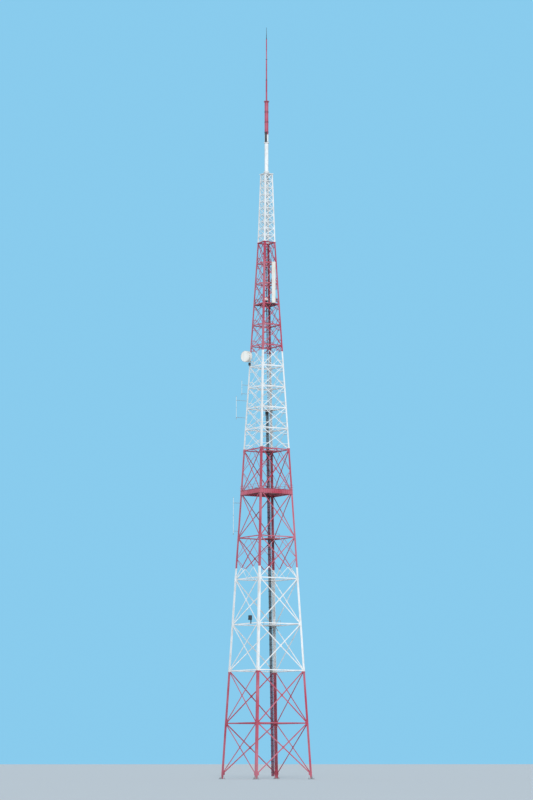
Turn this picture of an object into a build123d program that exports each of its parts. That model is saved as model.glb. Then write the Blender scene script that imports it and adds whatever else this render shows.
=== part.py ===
from build123d import *

import os
from math import hypot, sqrt

# Free-standing square lattice radio mast, a 1:10 scale model of a mast 173 m tall.
# Four leg angles lean in to a waist, a narrow neck stands on it, and the antennas stand on the neck.
# Millimetres of the model: 100 mm is one metre of the real mast. +Z is up, and the sides face
# south (-Y), east (+X), north (+Y) and west (-X).
# The model is drawn about its upright axis and then set with its south-west foot on the origin.

# Main outline
BASE_SIDE = 1480
WAIST_SIDE = 300
WAIST_Z = 12200
NECK_TOP_SIDE = 212
NECK_TOP_Z = 13810

# Heights of the horizontals in each length of the tower
BASE_LEVELS = (120, 1240, 2410)
LOWER_LEVELS = (2410, 3450, 4470)
MIDDLE_LEVELS = (4470, 5410, 6430, 7400)
UPPER_PANELS = 10
NECK_PANELS = 10
SUBDIVIDED = (4470, 6430)

# Leg angles: width and thickness in each length
BASE_LEG, BASE_LEG_WALL = 54, 4
LOWER_LEG, LOWER_LEG_WALL = 50, 4
MIDDLE_LEG, MIDDLE_LEG_WALL = 44, 3.5
UPPER_LEG, UPPER_LEG_WALL = 38, 3
NECK_LEG, NECK_LEG_WALL = 34, 3

# Bracing
BRACE_DEPTH = 19
BRACE_WALL = 3
STEM_WALL = 3
BASE_BRACE = 26
LOWER_BRACE = 24
MIDDLE_BRACE = 21
UPPER_BRACE = 15
NECK_BRACE = 14
NECK_BRACE_WALL = 2
SUB_BRACE = 11
HORIZONTAL = 24
CORNER_GAP = 22
SPLICE_LENGTH = 130
SPLICE_WALL = 2.5

# Feet
FOOT_SIDE = 110
FOOT_THICK = 10
FOOT_INSET = 15
ANCHOR_SPACING = 80
ANCHOR_RADIUS = 5
FOOT_RIB_HEIGHT = 70
FOOT_RIB_WALL = 5

# Gallery and platforms
GALLERY_Z = 6430
GIRDER_HEIGHT = 104
GIRDER_FLANGE = 14
GIRDER_WALL = 4
DECK_THICK = 4
DECK_OPENING = 400
RAIL_HEIGHT = 110
RAIL_BAR = 5
REST_DECKS = (3450, 5410, 7400)
REST_DECK_SIDE = 300
UPPER_DECK_PANELS = 2
UPPER_DECK_SIDE = 210
BEACON_DECK_PANELS = 7
PLAN_LEVELS = (2410, 4470, 7400)
PLAN_BAR = 18
PLAN_WALL = 4

# Ladder and feeders, on the west side beside the north-west leg
LADDER_INSET = 38
LADDER_WIDTH = 44
STILE_WIDTH = 4
STILE_DEPTH = 7
LADDER_FOOT_Z = 60
RUNG_PITCH = 240
RUNG_SIDE = 2.6
FEEDER_INSET = 100
FEEDER_SPACING = 18
FEEDER_COUNT = 4
FEEDER_RADIUS = 7
HATCH_GAP = 8

# Waist and neck
WAIST_PLATE_WALL = 10
WAIST_PLATE_EDGE = 10
WAIST_OPENING = 200
NECK_CAP_SIDE = 240
NECK_CAP_WALL = 12

# Stack on the neck
FLANGE_RADIUS = 62
FLANGE_WALL = 18
SOCKET_HEIGHT = 40
POLE_RADIUS = 44
POLE_LENGTH = 670
ANTENNA_RADIUS = 45
ANTENNA_LENGTH = 962
ANTENNA_SECTIONS = 4
JOINT_RING = 4
FEED_BOX_SIZE = (44, 30, 230)
FEED_BOX_HEADING = 45
SPIRE_RADII = (18, 15, 12)
SPIRE_LENGTH = 1482
ROD_LENGTH = 280
ROD_RADIUS = 8
ROD_TIP_RADIUS = 3
ROD_SIDES = 8

# Microwave dish on the south-west leg
DISH_Z = 9550
DISH_HEADING = 20
DISH_RADIUS = 124
DISH_SHROUD = 100
DISH_BOWL = 34
DISH_HUB_RADIUS = 26
DISH_HUB = 16
DISH_RINGS = (0.3, 0.5, 0.7, 0.86, 1)
DISH_RIM = 5
DISH_SIDE_GAP = 28
DISH_PIPE_RADIUS = 6
DISH_PIPE_LENGTH = 190
DISH_PIPE_STANDOFF = 22

# Panel antenna on the east side
PANEL_Y = 10
PANEL_WIDTH = 88
PANEL_DEPTH = 62
PANEL_HEIGHT = 950
PANEL_CORNER = 24
PANEL_STANDOFF = 40
LOWER_BRACKET_PANELS = 7
UPPER_BRACKET_PANELS = 8
BRACKET_WIDTH = 60
BRACKET_WALL = 6

# Whip antennas, each held by two arms on the west side of the south-west leg
WHIP_SITES = (
    # lower arm, upper arm, width of the leg there, reach past the leg, foot of the whip, its length
    (5560, 6200, MIDDLE_LEG, 110, 5480, 860),
    (8150, 8540, UPPER_LEG, 238, 8110, 530),
    (8700, 8900, UPPER_LEG, 134, 8670, 340),
)
ARM_SIDE = 8
WHIP_STEM_RADIUS = 4

# Boxes and light
BOX_Z = 3570
BOX_X = 255
BOX_SIZE = (76, 52, 104)
BOX_PLATE = 4
LADDER_BOX_SIZE = (40, 60, 90)
DISH_UNIT_SIZE = (44, 34, 60)
DISH_UNIT_GAP = 10
BEACON_X, BEACON_Y = 138, -92
BEACON_STAND = 40
BEACON_STAND_RADIUS = 12
BEACON_RADIUS = 38
BEACON_BASE = 16
BEACON_LENS_RADIUS = 33
BEACON_LENS_HEIGHT = 74
BEACON_CAP = 16

SEAT = 0.2
SIDES = ("south", "east", "north", "west")


class Taper:
    """A stretch of the mast, square in plan, whose four sides lean in by the same amount."""

    def __init__(self, low, low_side, high, high_side):
        self.low = low
        self.low_side = low_side
        self.lean = (low_side - high_side) / 2 / (high - low)
        self.slope = sqrt(1 + self.lean**2)

    def side(self, z):
        return self.low_side - 2 * self.lean * (z - self.low)

    def along(self, z):
        """Distance up the leaning side to height z."""
        return (z - self.low) * self.slope

    def plane(self, depth=0):
        """South side, depth below the legs' outer faces; x to the east and y up the slope."""
        outer = Plane((0, -self.low_side / 2, self.low), x_dir=(1, 0, 0), z_dir=(0, -1, self.lean))
        return outer.offset(-depth)

    def inner(self, z):
        """Half the clear width inside the bracing at height z."""
        return self.side(z) / 2 - BRACE_DEPTH * self.slope

    def lean_along_leg(self, outline, low, high, east, north):
        """An outline in plan carried up parallel to one leg."""
        way = (-self.lean * east, -self.lean * north, 1)
        length = (high - low) * hypot(*way[:2], 1)
        return extrude(Pos(0, 0, low) * outline, amount=length, dir=way)


TOWER = Taper(0, BASE_SIDE, WAIST_Z, WAIST_SIDE)
NECK_FOOT_Z = WAIST_Z + WAIST_PLATE_WALL
NECK = Taper(WAIST_Z, WAIST_SIDE, NECK_TOP_Z, NECK_TOP_SIDE)
MIDDLE_TOP = MIDDLE_LEVELS[-1]
UPPER_PITCH = (WAIST_Z - MIDDLE_TOP) / UPPER_PANELS
UPPER_LEVELS = tuple(MIDDLE_TOP + UPPER_PITCH * i for i in range(UPPER_PANELS + 1))
NECK_PITCH = (NECK_TOP_Z - NECK_FOOT_Z) / NECK_PANELS
NECK_LEVELS = tuple(NECK_FOOT_Z + NECK_PITCH * i for i in range(NECK_PANELS + 1))
FOOT_CENTRE = BASE_SIDE / 2 - FOOT_INSET
TO_FOOT = Pos(FOOT_CENTRE, FOOT_CENTRE, 0)


def write(name, *shapes):
    """One node: all solids of the shapes, set about the south-west foot."""
    solids = [TO_FOOT * solid for shape in shapes for solid in shape.solids()]
    export_step(solids[0] if len(solids) == 1 else Compound(solids), f"parts/{name}.step")


def around(shape):
    """Copies of a shape on the four sides, in the order of SIDES."""
    return [Rot(0, 0, 90 * turn) * shape for turn in range(4)]


def outline(*points):
    return Polygon(*points, align=None)


def strip(start, end, width):
    """Flat bar between two points of a drawing plane."""
    length = hypot(end[0] - start[0], end[1] - start[1])
    across = (end[1] - start[1]) / length * width / 2
    up = (end[0] - start[0]) / length * width / 2
    return outline(
        (start[0] + across, start[1] - up),
        (end[0] + across, end[1] - up),
        (end[0] - across, end[1] + up),
        (start[0] - across, start[1] + up),
    )


def middle(start, end):
    return ((start[0] + end[0]) / 2, (start[1] + end[1]) / 2)


def angle_outline(corner, width, wall, outside=0):
    """Leg angle in plan, in the north-east quarter, with its heel at the given corner."""
    heel = corner + outside
    return outline(
        (heel, heel),
        (corner - width, heel),
        (corner - width, heel - wall),
        (heel - wall, heel - wall),
        (heel - wall, corner - width),
        (heel, corner - width),
    )


def leg_set(taper, low, high, width, wall):
    """Four leg angles between two heights."""
    plan = angle_outline(taper.side(low) / 2, width, wall)
    return around(taper.lean_along_leg(plan, low, high, 1, 1))


def splice_set(taper, level, width):
    """Four outer cover angles over the joints of the legs at one level."""
    low = level + HORIZONTAL / 2 - SPLICE_LENGTH / 2
    plan = angle_outline(taper.side(low) / 2, width, SPLICE_WALL, SPLICE_WALL)
    return around(taper.lean_along_leg(plan, low, low + SPLICE_LENGTH, 1, 1))


def panel_points(taper, low, high, leg):
    """Joints of one panel on its right-hand leg, at its foot and its head, and its crossing."""
    foot = (taper.side(low) / 2 - leg / 2, taper.along(low))
    head = (taper.side(high) / 2 - leg / 2, taper.along(high))
    share = foot[0] / (foot[0] + head[0])
    return foot, head, (0, foot[1] + (head[1] - foot[1]) * share)


def mirrored(point):
    return (-point[0], point[1])


def side_bars(taper, levels, leg, brace, gusset):
    """Flats, gussets and stems of one side, as lists of outlines in the plane of the side."""
    flats, stems = [], []
    for low, high in zip(levels, levels[1:]):
        foot, head, cross = panel_points(taper, low, high, leg)
        for start, end in ((mirrored(foot), head), (foot, mirrored(head))):
            flats.append(strip(start, end, brace))
            stems.append(strip(start, end, STEM_WALL))
        flats.append(strip(mirrored(head), head, HORIZONTAL))
        stems.append(strip(mirrored(head), head, STEM_WALL))
        flats.append(strip((cross[0] - gusset / 2, cross[1]), (cross[0] + gusset / 2, cross[1]), gusset))
        for turn in (1, -1):
            for at in (foot, head):
                edge, inner = turn * (at[0] + leg / 2), turn * (at[0] - gusset * 0.9)
                corners = [
                    (edge, at[1] - gusset),
                    (edge, at[1] + gusset),
                    (inner, at[1] + gusset / 3),
                    (inner, at[1] - gusset / 3),
                ]
                flats.append(outline(*corners[::turn]))
        if low in SUBDIVIDED:
            flats += sub_bars(foot, head, cross)
    return flats, stems


def sub_bars(foot, head, cross):
    """Light bars that halve the free lengths of one panel."""
    bars = []
    knees = [middle(foot, cross), middle(head, cross)]
    for turn in (1, -1):
        leg_middle = middle(foot, head)
        for knee in knees:
            bars.append(((turn * leg_middle[0], leg_middle[1]), (turn * knee[0], knee[1])))
        bars.append(((0, foot[1]), (turn * knees[0][0], knees[0][1])))
        bars.append(((0, head[1]), (turn * knees[1][0], knees[1][1])))
    return [strip(start, end, SUB_BRACE) for start, end in bars]


def side_frame(taper, levels, leg, leg_wall, brace, low_cut, high_cut, with_stems=True):
    """South side of one length of the tower, as one welded frame of flats and stems."""
    flats, stems = side_bars(taper, levels, leg, brace, 2.4 * brace)
    if not with_stems:
        stems = [strip(*ends, STEM_WALL) for ends in horizontals(taper, levels[1:], leg)]
    reach_low = taper.side(levels[0]) / 2 - CORNER_GAP
    drop = taper.lean / taper.slope
    first = taper.along(levels[0])
    limits = outline(
        *[
            (turn * (reach_low - (cut - first) * drop), cut)
            for turn, cut in ((-1, low_cut), (1, low_cut), (1, high_cut), (-1, high_cut))
        ]
    )
    flat = (flats[0] + flats[1:]) & limits
    stem = (stems[0] + stems[1:]) & limits
    depth = leg_wall / taper.slope
    inwards = -taper.plane().z_dir
    plate = extrude(taper.plane(depth) * flat, amount=BRACE_WALL, dir=inwards)
    rib_depth = BRACE_DEPTH - depth - BRACE_WALL
    return plate + extrude(taper.plane(depth + BRACE_WALL) * stem, amount=rib_depth, dir=inwards)


def horizontals(taper, levels, leg):
    """Ends of the horizontals of one side."""
    ends = []
    for z in levels:
        reach = taper.side(z) / 2 - leg / 2
        ends.append(((-reach, taper.along(z)), (reach, taper.along(z))))
    return ends


def tower_length(name, levels, leg, wall, brace, low_cut, high_cut, low, high, with_stems=True):
    """Legs and four sides of one length of the tower."""
    write(f"legs_{name}", *leg_set(TOWER, low, high, leg, wall))
    frame = side_frame(TOWER, levels, leg, wall, brace, low_cut, high_cut, with_stems)
    for side, turned in zip(SIDES, around(frame)):
        write(f"{side}_side_{name}", turned)


def tower():
    """The leaning tower, in four lengths joined just above a horizontal."""
    above = HORIZONTAL / 2
    joints = [levels[-1] for levels in (BASE_LEVELS, LOWER_LEVELS, MIDDLE_LEVELS)]
    cuts = [TOWER.along(z) + above for z in joints]
    first_cut = TOWER.along(FOOT_THICK) + SUB_BRACE
    fall = TOWER.lean * BRACE_DEPTH
    z_cuts = [z + above - fall for z in joints]
    tower_length("base", BASE_LEVELS, BASE_LEG, BASE_LEG_WALL, BASE_BRACE,
                 first_cut, cuts[0], FOOT_THICK, z_cuts[0])
    tower_length("lower", LOWER_LEVELS, LOWER_LEG, LOWER_LEG_WALL, LOWER_BRACE,
                 cuts[0], cuts[1], z_cuts[0], z_cuts[1])
    tower_length("middle", MIDDLE_LEVELS, MIDDLE_LEG, MIDDLE_LEG_WALL, MIDDLE_BRACE,
                 cuts[1], cuts[2], z_cuts[1], z_cuts[2])
    tower_length("upper", UPPER_LEVELS, UPPER_LEG, UPPER_LEG_WALL, UPPER_BRACE,
                 cuts[2], TOWER.along(WAIST_Z), z_cuts[2], WAIST_Z, with_stems=False)
    covers = zip(joints, (LOWER_LEG, MIDDLE_LEG, UPPER_LEG))
    write("leg_splices", *[cover for level, leg in covers for cover in splice_set(TOWER, level, leg)])


def feet():
    """Foot plates with four anchor holes each and ribs against the legs."""
    plate = Box(FOOT_SIDE, FOOT_SIDE, FOOT_THICK, align=(Align.CENTER, Align.CENTER, Align.MIN))
    hole = Cylinder(ANCHOR_RADIUS, FOOT_THICK, align=(Align.CENTER, Align.CENTER, Align.MIN))
    half = ANCHOR_SPACING / 2
    plate -= [Pos(x, y, 0) * hole for x in (-half, half) for y in (-half, half)]
    plate = Pos(FOOT_CENTRE, FOOT_CENTRE, 0) * plate
    leg_face = TOWER.side(FOOT_THICK) / 2
    top = FOOT_THICK + FOOT_RIB_HEIGHT
    rib = outline(
        (leg_face, FOOT_THICK),
        (FOOT_CENTRE + FOOT_SIDE / 2, FOOT_THICK),
        (FOOT_CENTRE + FOOT_SIDE / 2, FOOT_THICK + FOOT_RIB_WALL),
        (TOWER.side(top) / 2 + FOOT_RIB_WALL, top),
        (TOWER.side(top) / 2, top),
    )
    middle_of_leg = leg_face - BASE_LEG / 2
    east = extrude(Plane.XZ.offset(-middle_of_leg) * rib, amount=FOOT_RIB_WALL / 2, both=True)
    north = east.mirror(Plane((0, 0, 0), z_dir=(1, -1, 0)))
    write("foot_plates", *around(plate + east + north))


def stem_top(level):
    """Top of the horizontals' stems at their inner edge."""
    return level + STEM_WALL / 2 - TOWER.lean * BRACE_DEPTH


def plan_bracing():
    """Level frames that join the middles of the four sides."""
    frames = []
    for level in PLAN_LEVELS:
        low = stem_top(level) - PLAN_WALL
        reach = TOWER.inner(low + PLAN_WALL) - SEAT
        inside = reach - PLAN_BAR * sqrt(2)
        corners = [(reach, PLAN_BAR / 2), (PLAN_BAR / 2, reach), (-PLAN_BAR / 2, reach), (-reach, PLAN_BAR / 2)]
        outer = outline(*corners, *[(-x, -y) for x, y in corners])
        hole = outline((inside, 0), (0, inside), (-inside, 0), (0, -inside))
        frames.append(extrude(Pos(0, 0, low) * (outer - hole), amount=PLAN_WALL))
    write("plan_bracing", *frames)


def feeders_at(z):
    """Number of feeder tubes at height z: all but one end in the box under the upper rest platform."""
    return FEEDER_COUNT if z < feeder_box_foot() else 1


def hatch(z, taper):
    """Opening for the ladder and the feeders at height z, in plan."""
    west = -taper.side(z) / 2
    north = -west
    last = north - FEEDER_INSET - FEEDER_SPACING * (feeders_at(z) - 1) - FEEDER_RADIUS
    deep = BRACE_DEPTH * taper.slope + max(2 * FEEDER_RADIUS, STILE_DEPTH)
    return rect(west, last - HATCH_GAP, west + deep + HATCH_GAP, north - LADDER_INSET + HATCH_GAP)


def deck_underside(level):
    """Decks lie just above the horizontals' stems and the plan bracing."""
    return stem_top(level) + SEAT


def feeder_box_foot():
    """Underside of the box that hangs under the upper rest platform."""
    return deck_underside(UPPER_LEVELS[UPPER_DECK_PANELS]) - LADDER_BOX_SIZE[2]


def handrail(points, z):
    """Posts at the points, with a top rail and a knee rail between them."""
    post = Box(RAIL_BAR, RAIL_BAR, RAIL_HEIGHT, align=(Align.CENTER, Align.CENTER, Align.MIN))
    parts = [Pos(x, y, z) * post for x, y in points]
    for height in (RAIL_HEIGHT - RAIL_BAR, RAIL_HEIGHT / 2):
        for start, end in zip(points, points[1:]):
            parts.append(extrude(Pos(0, 0, z + height) * strip(start, end, RAIL_BAR), amount=RAIL_BAR))
    return parts


def rect(west, south, east, north):
    return outline((west, south), (east, south), (east, north), (west, north))


def gallery():
    """Ring girders round the legs and the deck inside them."""
    low, high = GALLERY_Z - GIRDER_HEIGHT / 2, GALLERY_Z + GIRDER_HEIGHT / 2
    reach = TOWER.side(high) / 2 - SEAT
    low_y, high_y = TOWER.along(low), TOWER.along(high)
    web = extrude(TOWER.plane() * rect(-reach, low_y, reach, high_y), amount=GIRDER_WALL)
    flanges = [
        extrude(TOWER.plane() * rect(-reach, y, reach, y + GIRDER_WALL), amount=GIRDER_FLANGE)
        for y in (low_y, high_y - GIRDER_WALL)
    ]
    write("gallery_girders", *around(web + flanges))
    low = deck_underside(GALLERY_Z)
    reach = TOWER.inner(low + DECK_THICK) - SEAT
    half = DECK_OPENING / 2
    plan = rect(-reach, -reach, reach, reach) - rect(-half, -half, half, half) - hatch(low, TOWER)
    deck = extrude(Pos(0, 0, low) * plan, amount=DECK_THICK)
    edge = half + RAIL_BAR / 2
    corners = [(-edge, -edge), (edge, -edge), (edge, edge), (-edge, edge), (-edge, -edge)]
    joists = [
        extrude(Pos(0, 0, low) * strip((-reach, turn * edge), (reach, turn * edge), RAIL_BAR), amount=-PLAN_BAR)
        for turn in (-1, 1)
    ]
    write("gallery_deck", deck + handrail(corners, low + DECK_THICK) + joists)


def corner_deck(z, width, depth):
    """Deck in the north-west corner at height z, with a hatch and a handrail on its free edges."""
    low = deck_underside(z)
    reach = TOWER.inner(low + DECK_THICK) - SEAT
    east, south = -reach + width, reach - depth
    plan = rect(-reach, south, east, reach) - hatch(low, TOWER)
    deck = extrude(Pos(0, 0, low) * plan, amount=DECK_THICK)
    inset = RAIL_BAR / 2
    rail_reach = TOWER.inner(z + RAIL_HEIGHT) - 2 * RAIL_BAR
    corners = [(-rail_reach, south + inset), (east - inset, south + inset), (east - inset, rail_reach)]
    return deck + handrail(corners, low + DECK_THICK)


def platforms():
    decks = [corner_deck(z, REST_DECK_SIDE, REST_DECK_SIDE) for z in REST_DECKS]
    decks.append(corner_deck(UPPER_LEVELS[UPPER_DECK_PANELS], UPPER_DECK_SIDE, UPPER_DECK_SIDE))
    write("rest_platforms", *decks)
    write("beacon_platform", full_deck(UPPER_LEVELS[BEACON_DECK_PANELS]))


def full_deck(z):
    """Deck over the whole plan at height z, with a hatch and a handrail inside the four sides."""
    low = deck_underside(z)
    reach = TOWER.inner(low + DECK_THICK) - SEAT
    deck = extrude(Pos(0, 0, low) * (rect(-reach, -reach, reach, reach) - hatch(low, TOWER)), amount=DECK_THICK)
    rail = TOWER.inner(z + RAIL_HEIGHT) - 2 * RAIL_BAR
    corners = [(-rail, -rail), (rail, -rail), (rail, rail), (0, rail)]
    return deck + handrail(corners, low + DECK_THICK)


def beacon():
    """Round beacon with a lens, a hood and a short stand, near the south-east corner of its platform."""
    up = (Align.CENTER, Align.CENTER, Align.MIN)
    low = deck_underside(UPPER_LEVELS[BEACON_DECK_PANELS]) + DECK_THICK
    lamp = Cylinder(BEACON_STAND_RADIUS, BEACON_STAND, align=up)
    lamp += Pos(0, 0, BEACON_STAND) * Cylinder(BEACON_RADIUS, BEACON_BASE, align=up)
    lens_foot = BEACON_STAND + BEACON_BASE
    lamp += Pos(0, 0, lens_foot) * Cylinder(BEACON_LENS_RADIUS, BEACON_LENS_HEIGHT, align=up)
    hood = Cone(BEACON_RADIUS, BEACON_LENS_RADIUS / 2, BEACON_CAP, align=up)
    lamp += Pos(0, 0, lens_foot + BEACON_LENS_HEIGHT) * hood
    write("beacon_light", Pos(BEACON_X, BEACON_Y, low) * lamp)


def ladder_run(taper, low, high):
    """Two stiles with rungs between them, leaning with the north-west leg."""
    west = -taper.side(low) / 2 + BRACE_DEPTH * taper.slope
    north = taper.side(low) / 2 - LADDER_INSET
    run = []
    for y in (north, north - LADDER_WIDTH + STILE_WIDTH):
        plan = rect(west, y - STILE_WIDTH, west + STILE_DEPTH, y)
        run.append(taper.lean_along_leg(plan, low, high, -1, 1))
    for i in range(int((high - low) / RUNG_PITCH)):
        rise = RUNG_PITCH * (i + 0.5)
        shift = taper.lean * rise
        centre = Pos(west + STILE_DEPTH / 2 + shift, north - LADDER_WIDTH / 2 - shift, low + rise)
        run.append(centre * Box(RUNG_SIDE, LADDER_WIDTH - STILE_WIDTH, RUNG_SIDE))
    return run[0] + run[1:]


def feeder_run(taper, low, high, place):
    """One round feeder tube beside the ladder, the first place being next to it."""
    west = -taper.side(low) / 2 + BRACE_DEPTH * taper.slope + FEEDER_RADIUS + SEAT
    y = taper.side(low) / 2 - FEEDER_INSET - FEEDER_SPACING * place
    return taper.lean_along_leg(Pos(west, y) * Circle(FEEDER_RADIUS), low, high, -1, 1)


def access():
    split = NECK_FOOT_Z
    top = NECK_TOP_Z - NECK_PITCH / 2
    write("ladder", ladder_run(TOWER, LADDER_FOOT_Z, split), ladder_run(NECK, split, top))
    long_run = [feeder_run(TOWER, LADDER_FOOT_Z, split, 0), feeder_run(NECK, split, top, 0)]
    short_runs = [feeder_run(TOWER, LADDER_FOOT_Z, feeder_box_foot(), i) for i in range(1, FEEDER_COUNT)]
    write("feeder_lines", *long_run, *short_runs)


def neck():
    """Waist plate, narrow lattice neck and its cap."""
    half = TOWER.side(WAIST_Z) / 2 + WAIST_PLATE_EDGE
    hole = WAIST_OPENING / 2
    plan = rect(-half, -half, half, half) - rect(-hole, -hole, hole, hole) - hatch(WAIST_Z, TOWER)
    write("waist_plate", extrude(Pos(0, 0, WAIST_Z) * plan, amount=WAIST_PLATE_WALL))
    write("neck_legs", *leg_set(NECK, NECK_FOOT_Z, NECK_TOP_Z, NECK_LEG, NECK_LEG_WALL))
    flats = []
    for low, high in zip(NECK_LEVELS, NECK_LEVELS[1:]):
        foot, head, _ = panel_points(NECK, low, high, NECK_LEG)
        flats.append(strip(mirrored(foot), head, NECK_BRACE))
        flats.append(strip(foot, mirrored(head), NECK_BRACE))
        flats.append(strip(mirrored(head), head, NECK_BRACE))
    low_y, high_y = NECK.along(NECK_FOOT_Z) + NECK_BRACE, NECK.along(NECK_TOP_Z)
    low_reach = NECK.side(NECK_FOOT_Z) / 2 - NECK_BRACE
    high_reach = NECK.side(NECK_TOP_Z) / 2 - NECK_BRACE
    limits = outline((-low_reach, low_y), (low_reach, low_y), (high_reach, high_y), (-high_reach, high_y))
    flat = (flats[0] + flats[1:]) & limits
    frame = extrude(NECK.plane(NECK_LEG_WALL / NECK.slope) * flat, amount=-NECK_BRACE_WALL)
    write("neck_bracing", *around(frame))
    cap = Pos(0, 0, NECK_TOP_Z) * Box(
        NECK_CAP_SIDE, NECK_CAP_SIDE, NECK_CAP_WALL, align=(Align.CENTER, Align.CENTER, Align.MIN)
    )
    top = NECK_TOP_Z + NECK_CAP_WALL
    cap += Pos(0, 0, top) * Cylinder(POLE_RADIUS, SOCKET_HEIGHT, align=(Align.CENTER, Align.CENTER, Align.MIN))
    rib_foot, rib_top = POLE_RADIUS - FOOT_RIB_WALL, top + SOCKET_HEIGHT - FOOT_RIB_WALL
    rib = outline((rib_foot, top), (NECK_CAP_SIDE / 2, top), (POLE_RADIUS, rib_top), (rib_foot, rib_top))
    cap += around(extrude(Plane.XZ * rib, amount=FOOT_RIB_WALL / 2, both=True))
    write("neck_cap", cap)


def stack():
    """Pole, thick antenna, thin antenna and lightning rod, with flanges between them."""
    up = (Align.CENTER, Align.CENTER, Align.MIN)
    disc = Cylinder(FLANGE_RADIUS, FLANGE_WALL, align=up)
    foot = NECK_TOP_Z + NECK_CAP_WALL + SOCKET_HEIGHT
    flanges = [Pos(0, 0, foot) * disc]
    foot += FLANGE_WALL
    write("pole", Pos(0, 0, foot) * Cylinder(POLE_RADIUS, POLE_LENGTH, align=up))
    foot += POLE_LENGTH
    flanges.append(Pos(0, 0, foot) * disc)
    foot += FLANGE_WALL
    antenna = Pos(0, 0, foot) * Cylinder(ANTENNA_RADIUS, ANTENNA_LENGTH, align=up)
    ring = Cylinder(ANTENNA_RADIUS + JOINT_RING, 3 * JOINT_RING)
    pitch = ANTENNA_LENGTH / ANTENNA_SECTIONS
    antenna += [Pos(0, 0, foot + pitch * i) * ring for i in range(1, ANTENNA_SECTIONS)]
    write("main_antenna", antenna)
    foot += ANTENNA_LENGTH
    flanges.append(Pos(0, 0, foot) * disc)
    foot += FLANGE_WALL
    write("stack_flanges", *flanges)
    tubes = []
    for radius in SPIRE_RADII:
        tubes.append(Pos(0, 0, foot) * Cylinder(radius, SPIRE_LENGTH / len(SPIRE_RADII), align=up))
        foot += SPIRE_LENGTH / len(SPIRE_RADII)
    write("upper_antenna", tubes[0] + tubes[1:])
    rod_foot = Pos(0, 0, foot) * RegularPolygon(ROD_RADIUS, ROD_SIDES)
    rod_tip = Pos(0, 0, foot + ROD_LENGTH) * RegularPolygon(ROD_TIP_RADIUS, ROD_SIDES)
    write("lightning_rod", loft([rod_foot, rod_tip]))


def dish():
    """Shrouded dish that faces a little east of south, on a pipe clamped to the south-west leg."""
    leg_x = -TOWER.side(DISH_Z) / 2 + DISH_SIDE_GAP
    pipe_y = -TOWER.side(DISH_Z) / 2 - DISH_PIPE_STANDOFF
    pipe = Pos(leg_x, pipe_y, DISH_Z) * Cylinder(DISH_PIPE_RADIUS, DISH_PIPE_LENGTH)
    clamps = []
    for turn in (-1, 1):
        y = TOWER.along(DISH_Z) + turn * DISH_PIPE_LENGTH * 0.38
        foot = rect(leg_x - DISH_PIPE_RADIUS, y - DISH_PIPE_RADIUS, leg_x + DISH_PIPE_RADIUS, y + DISH_PIPE_RADIUS)
        clamps.append(extrude(TOWER.plane() * foot, amount=DISH_PIPE_STANDOFF + DISH_PIPE_RADIUS * turn / 2))
    heading = Pos(leg_x, pipe_y, DISH_Z) * Rot(0, 0, DISH_HEADING)
    head_length = DISH_PIPE_RADIUS + DISH_HUB / 2
    head = Pos(0, -head_length / 2, 0) * Box(3 * DISH_PIPE_RADIUS, head_length, 5 * DISH_PIPE_RADIUS)
    write("dish_mount", pipe + clamps + heading * head)
    bowl = [(DISH_RADIUS * share, DISH_HUB + DISH_BOWL * share**2) for share in DISH_RINGS]
    front = DISH_HUB + DISH_BOWL + DISH_SHROUD
    half = outline(
        (0, 0),
        (DISH_HUB_RADIUS, 0),
        (DISH_HUB_RADIUS, DISH_HUB),
        *bowl,
        (DISH_RADIUS, front),
        (DISH_RADIUS - DISH_RIM, front + DISH_RIM),
        (0, front + DISH_RIM),
    )
    drum = revolve(half, axis=Axis.Y)
    write("microwave_dish", heading * Pos(0, -head_length, 0) * Rot(0, 0, 180) * drum)


def panel():
    """Upright panel antenna that stands off the east side, on two plate brackets."""
    foot_z, top_z = UPPER_LEVELS[LOWER_BRACKET_PANELS], UPPER_LEVELS[UPPER_BRACKET_PANELS]
    back = TOWER.side(foot_z) / 2 + PANEL_STANDOFF
    plan = RectangleRounded(PANEL_DEPTH, PANEL_WIDTH, PANEL_CORNER)
    body = extrude(Pos(back + PANEL_DEPTH / 2, PANEL_Y, foot_z) * plan, amount=PANEL_HEIGHT)
    write("panel_antenna", body)
    brackets = []
    for z in (foot_z, top_z):
        start = TOWER.side(z) / 2 - UPPER_LEG_WALL + SEAT
        plate = rect(start, PANEL_Y - BRACKET_WIDTH / 2, back, PANEL_Y + BRACKET_WIDTH / 2)
        brackets.append(extrude(Pos(0, 0, z - BRACKET_WALL / 2) * plate, amount=BRACKET_WALL))
    write("panel_brackets", *brackets)


def whips():
    """Whip antennas off the south-west leg, on arms bolted flat to its west face."""
    up = (Align.CENTER, Align.CENTER, Align.MIN)
    to_west = Rot(0, 0, -90)
    stems, arms = [], []
    for low, high, leg, reach, foot, length in WHIP_SITES:
        end = TOWER.side(low) / 2 + reach
        away = TOWER.side(low) / 2 + ARM_SIDE + WHIP_STEM_RADIUS
        stems.append(Pos(-away, -end - WHIP_STEM_RADIUS, foot) * Cylinder(WHIP_STEM_RADIUS, length, align=up))
        for z in (low, high):
            y = TOWER.along(z)
            start = TOWER.side(z) / 2 - leg
            arm = extrude(TOWER.plane() * rect(start, y, end, y + ARM_SIDE), amount=ARM_SIDE)
            out = away + WHIP_STEM_RADIUS - TOWER.side(z) / 2
            block = extrude(TOWER.plane() * rect(end - ARM_SIDE, y, end, y + ARM_SIDE), amount=out)
            arms.append(to_west * (arm + block))
    write("whip_antennas", *stems)
    write("whip_arms", *arms)


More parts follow.
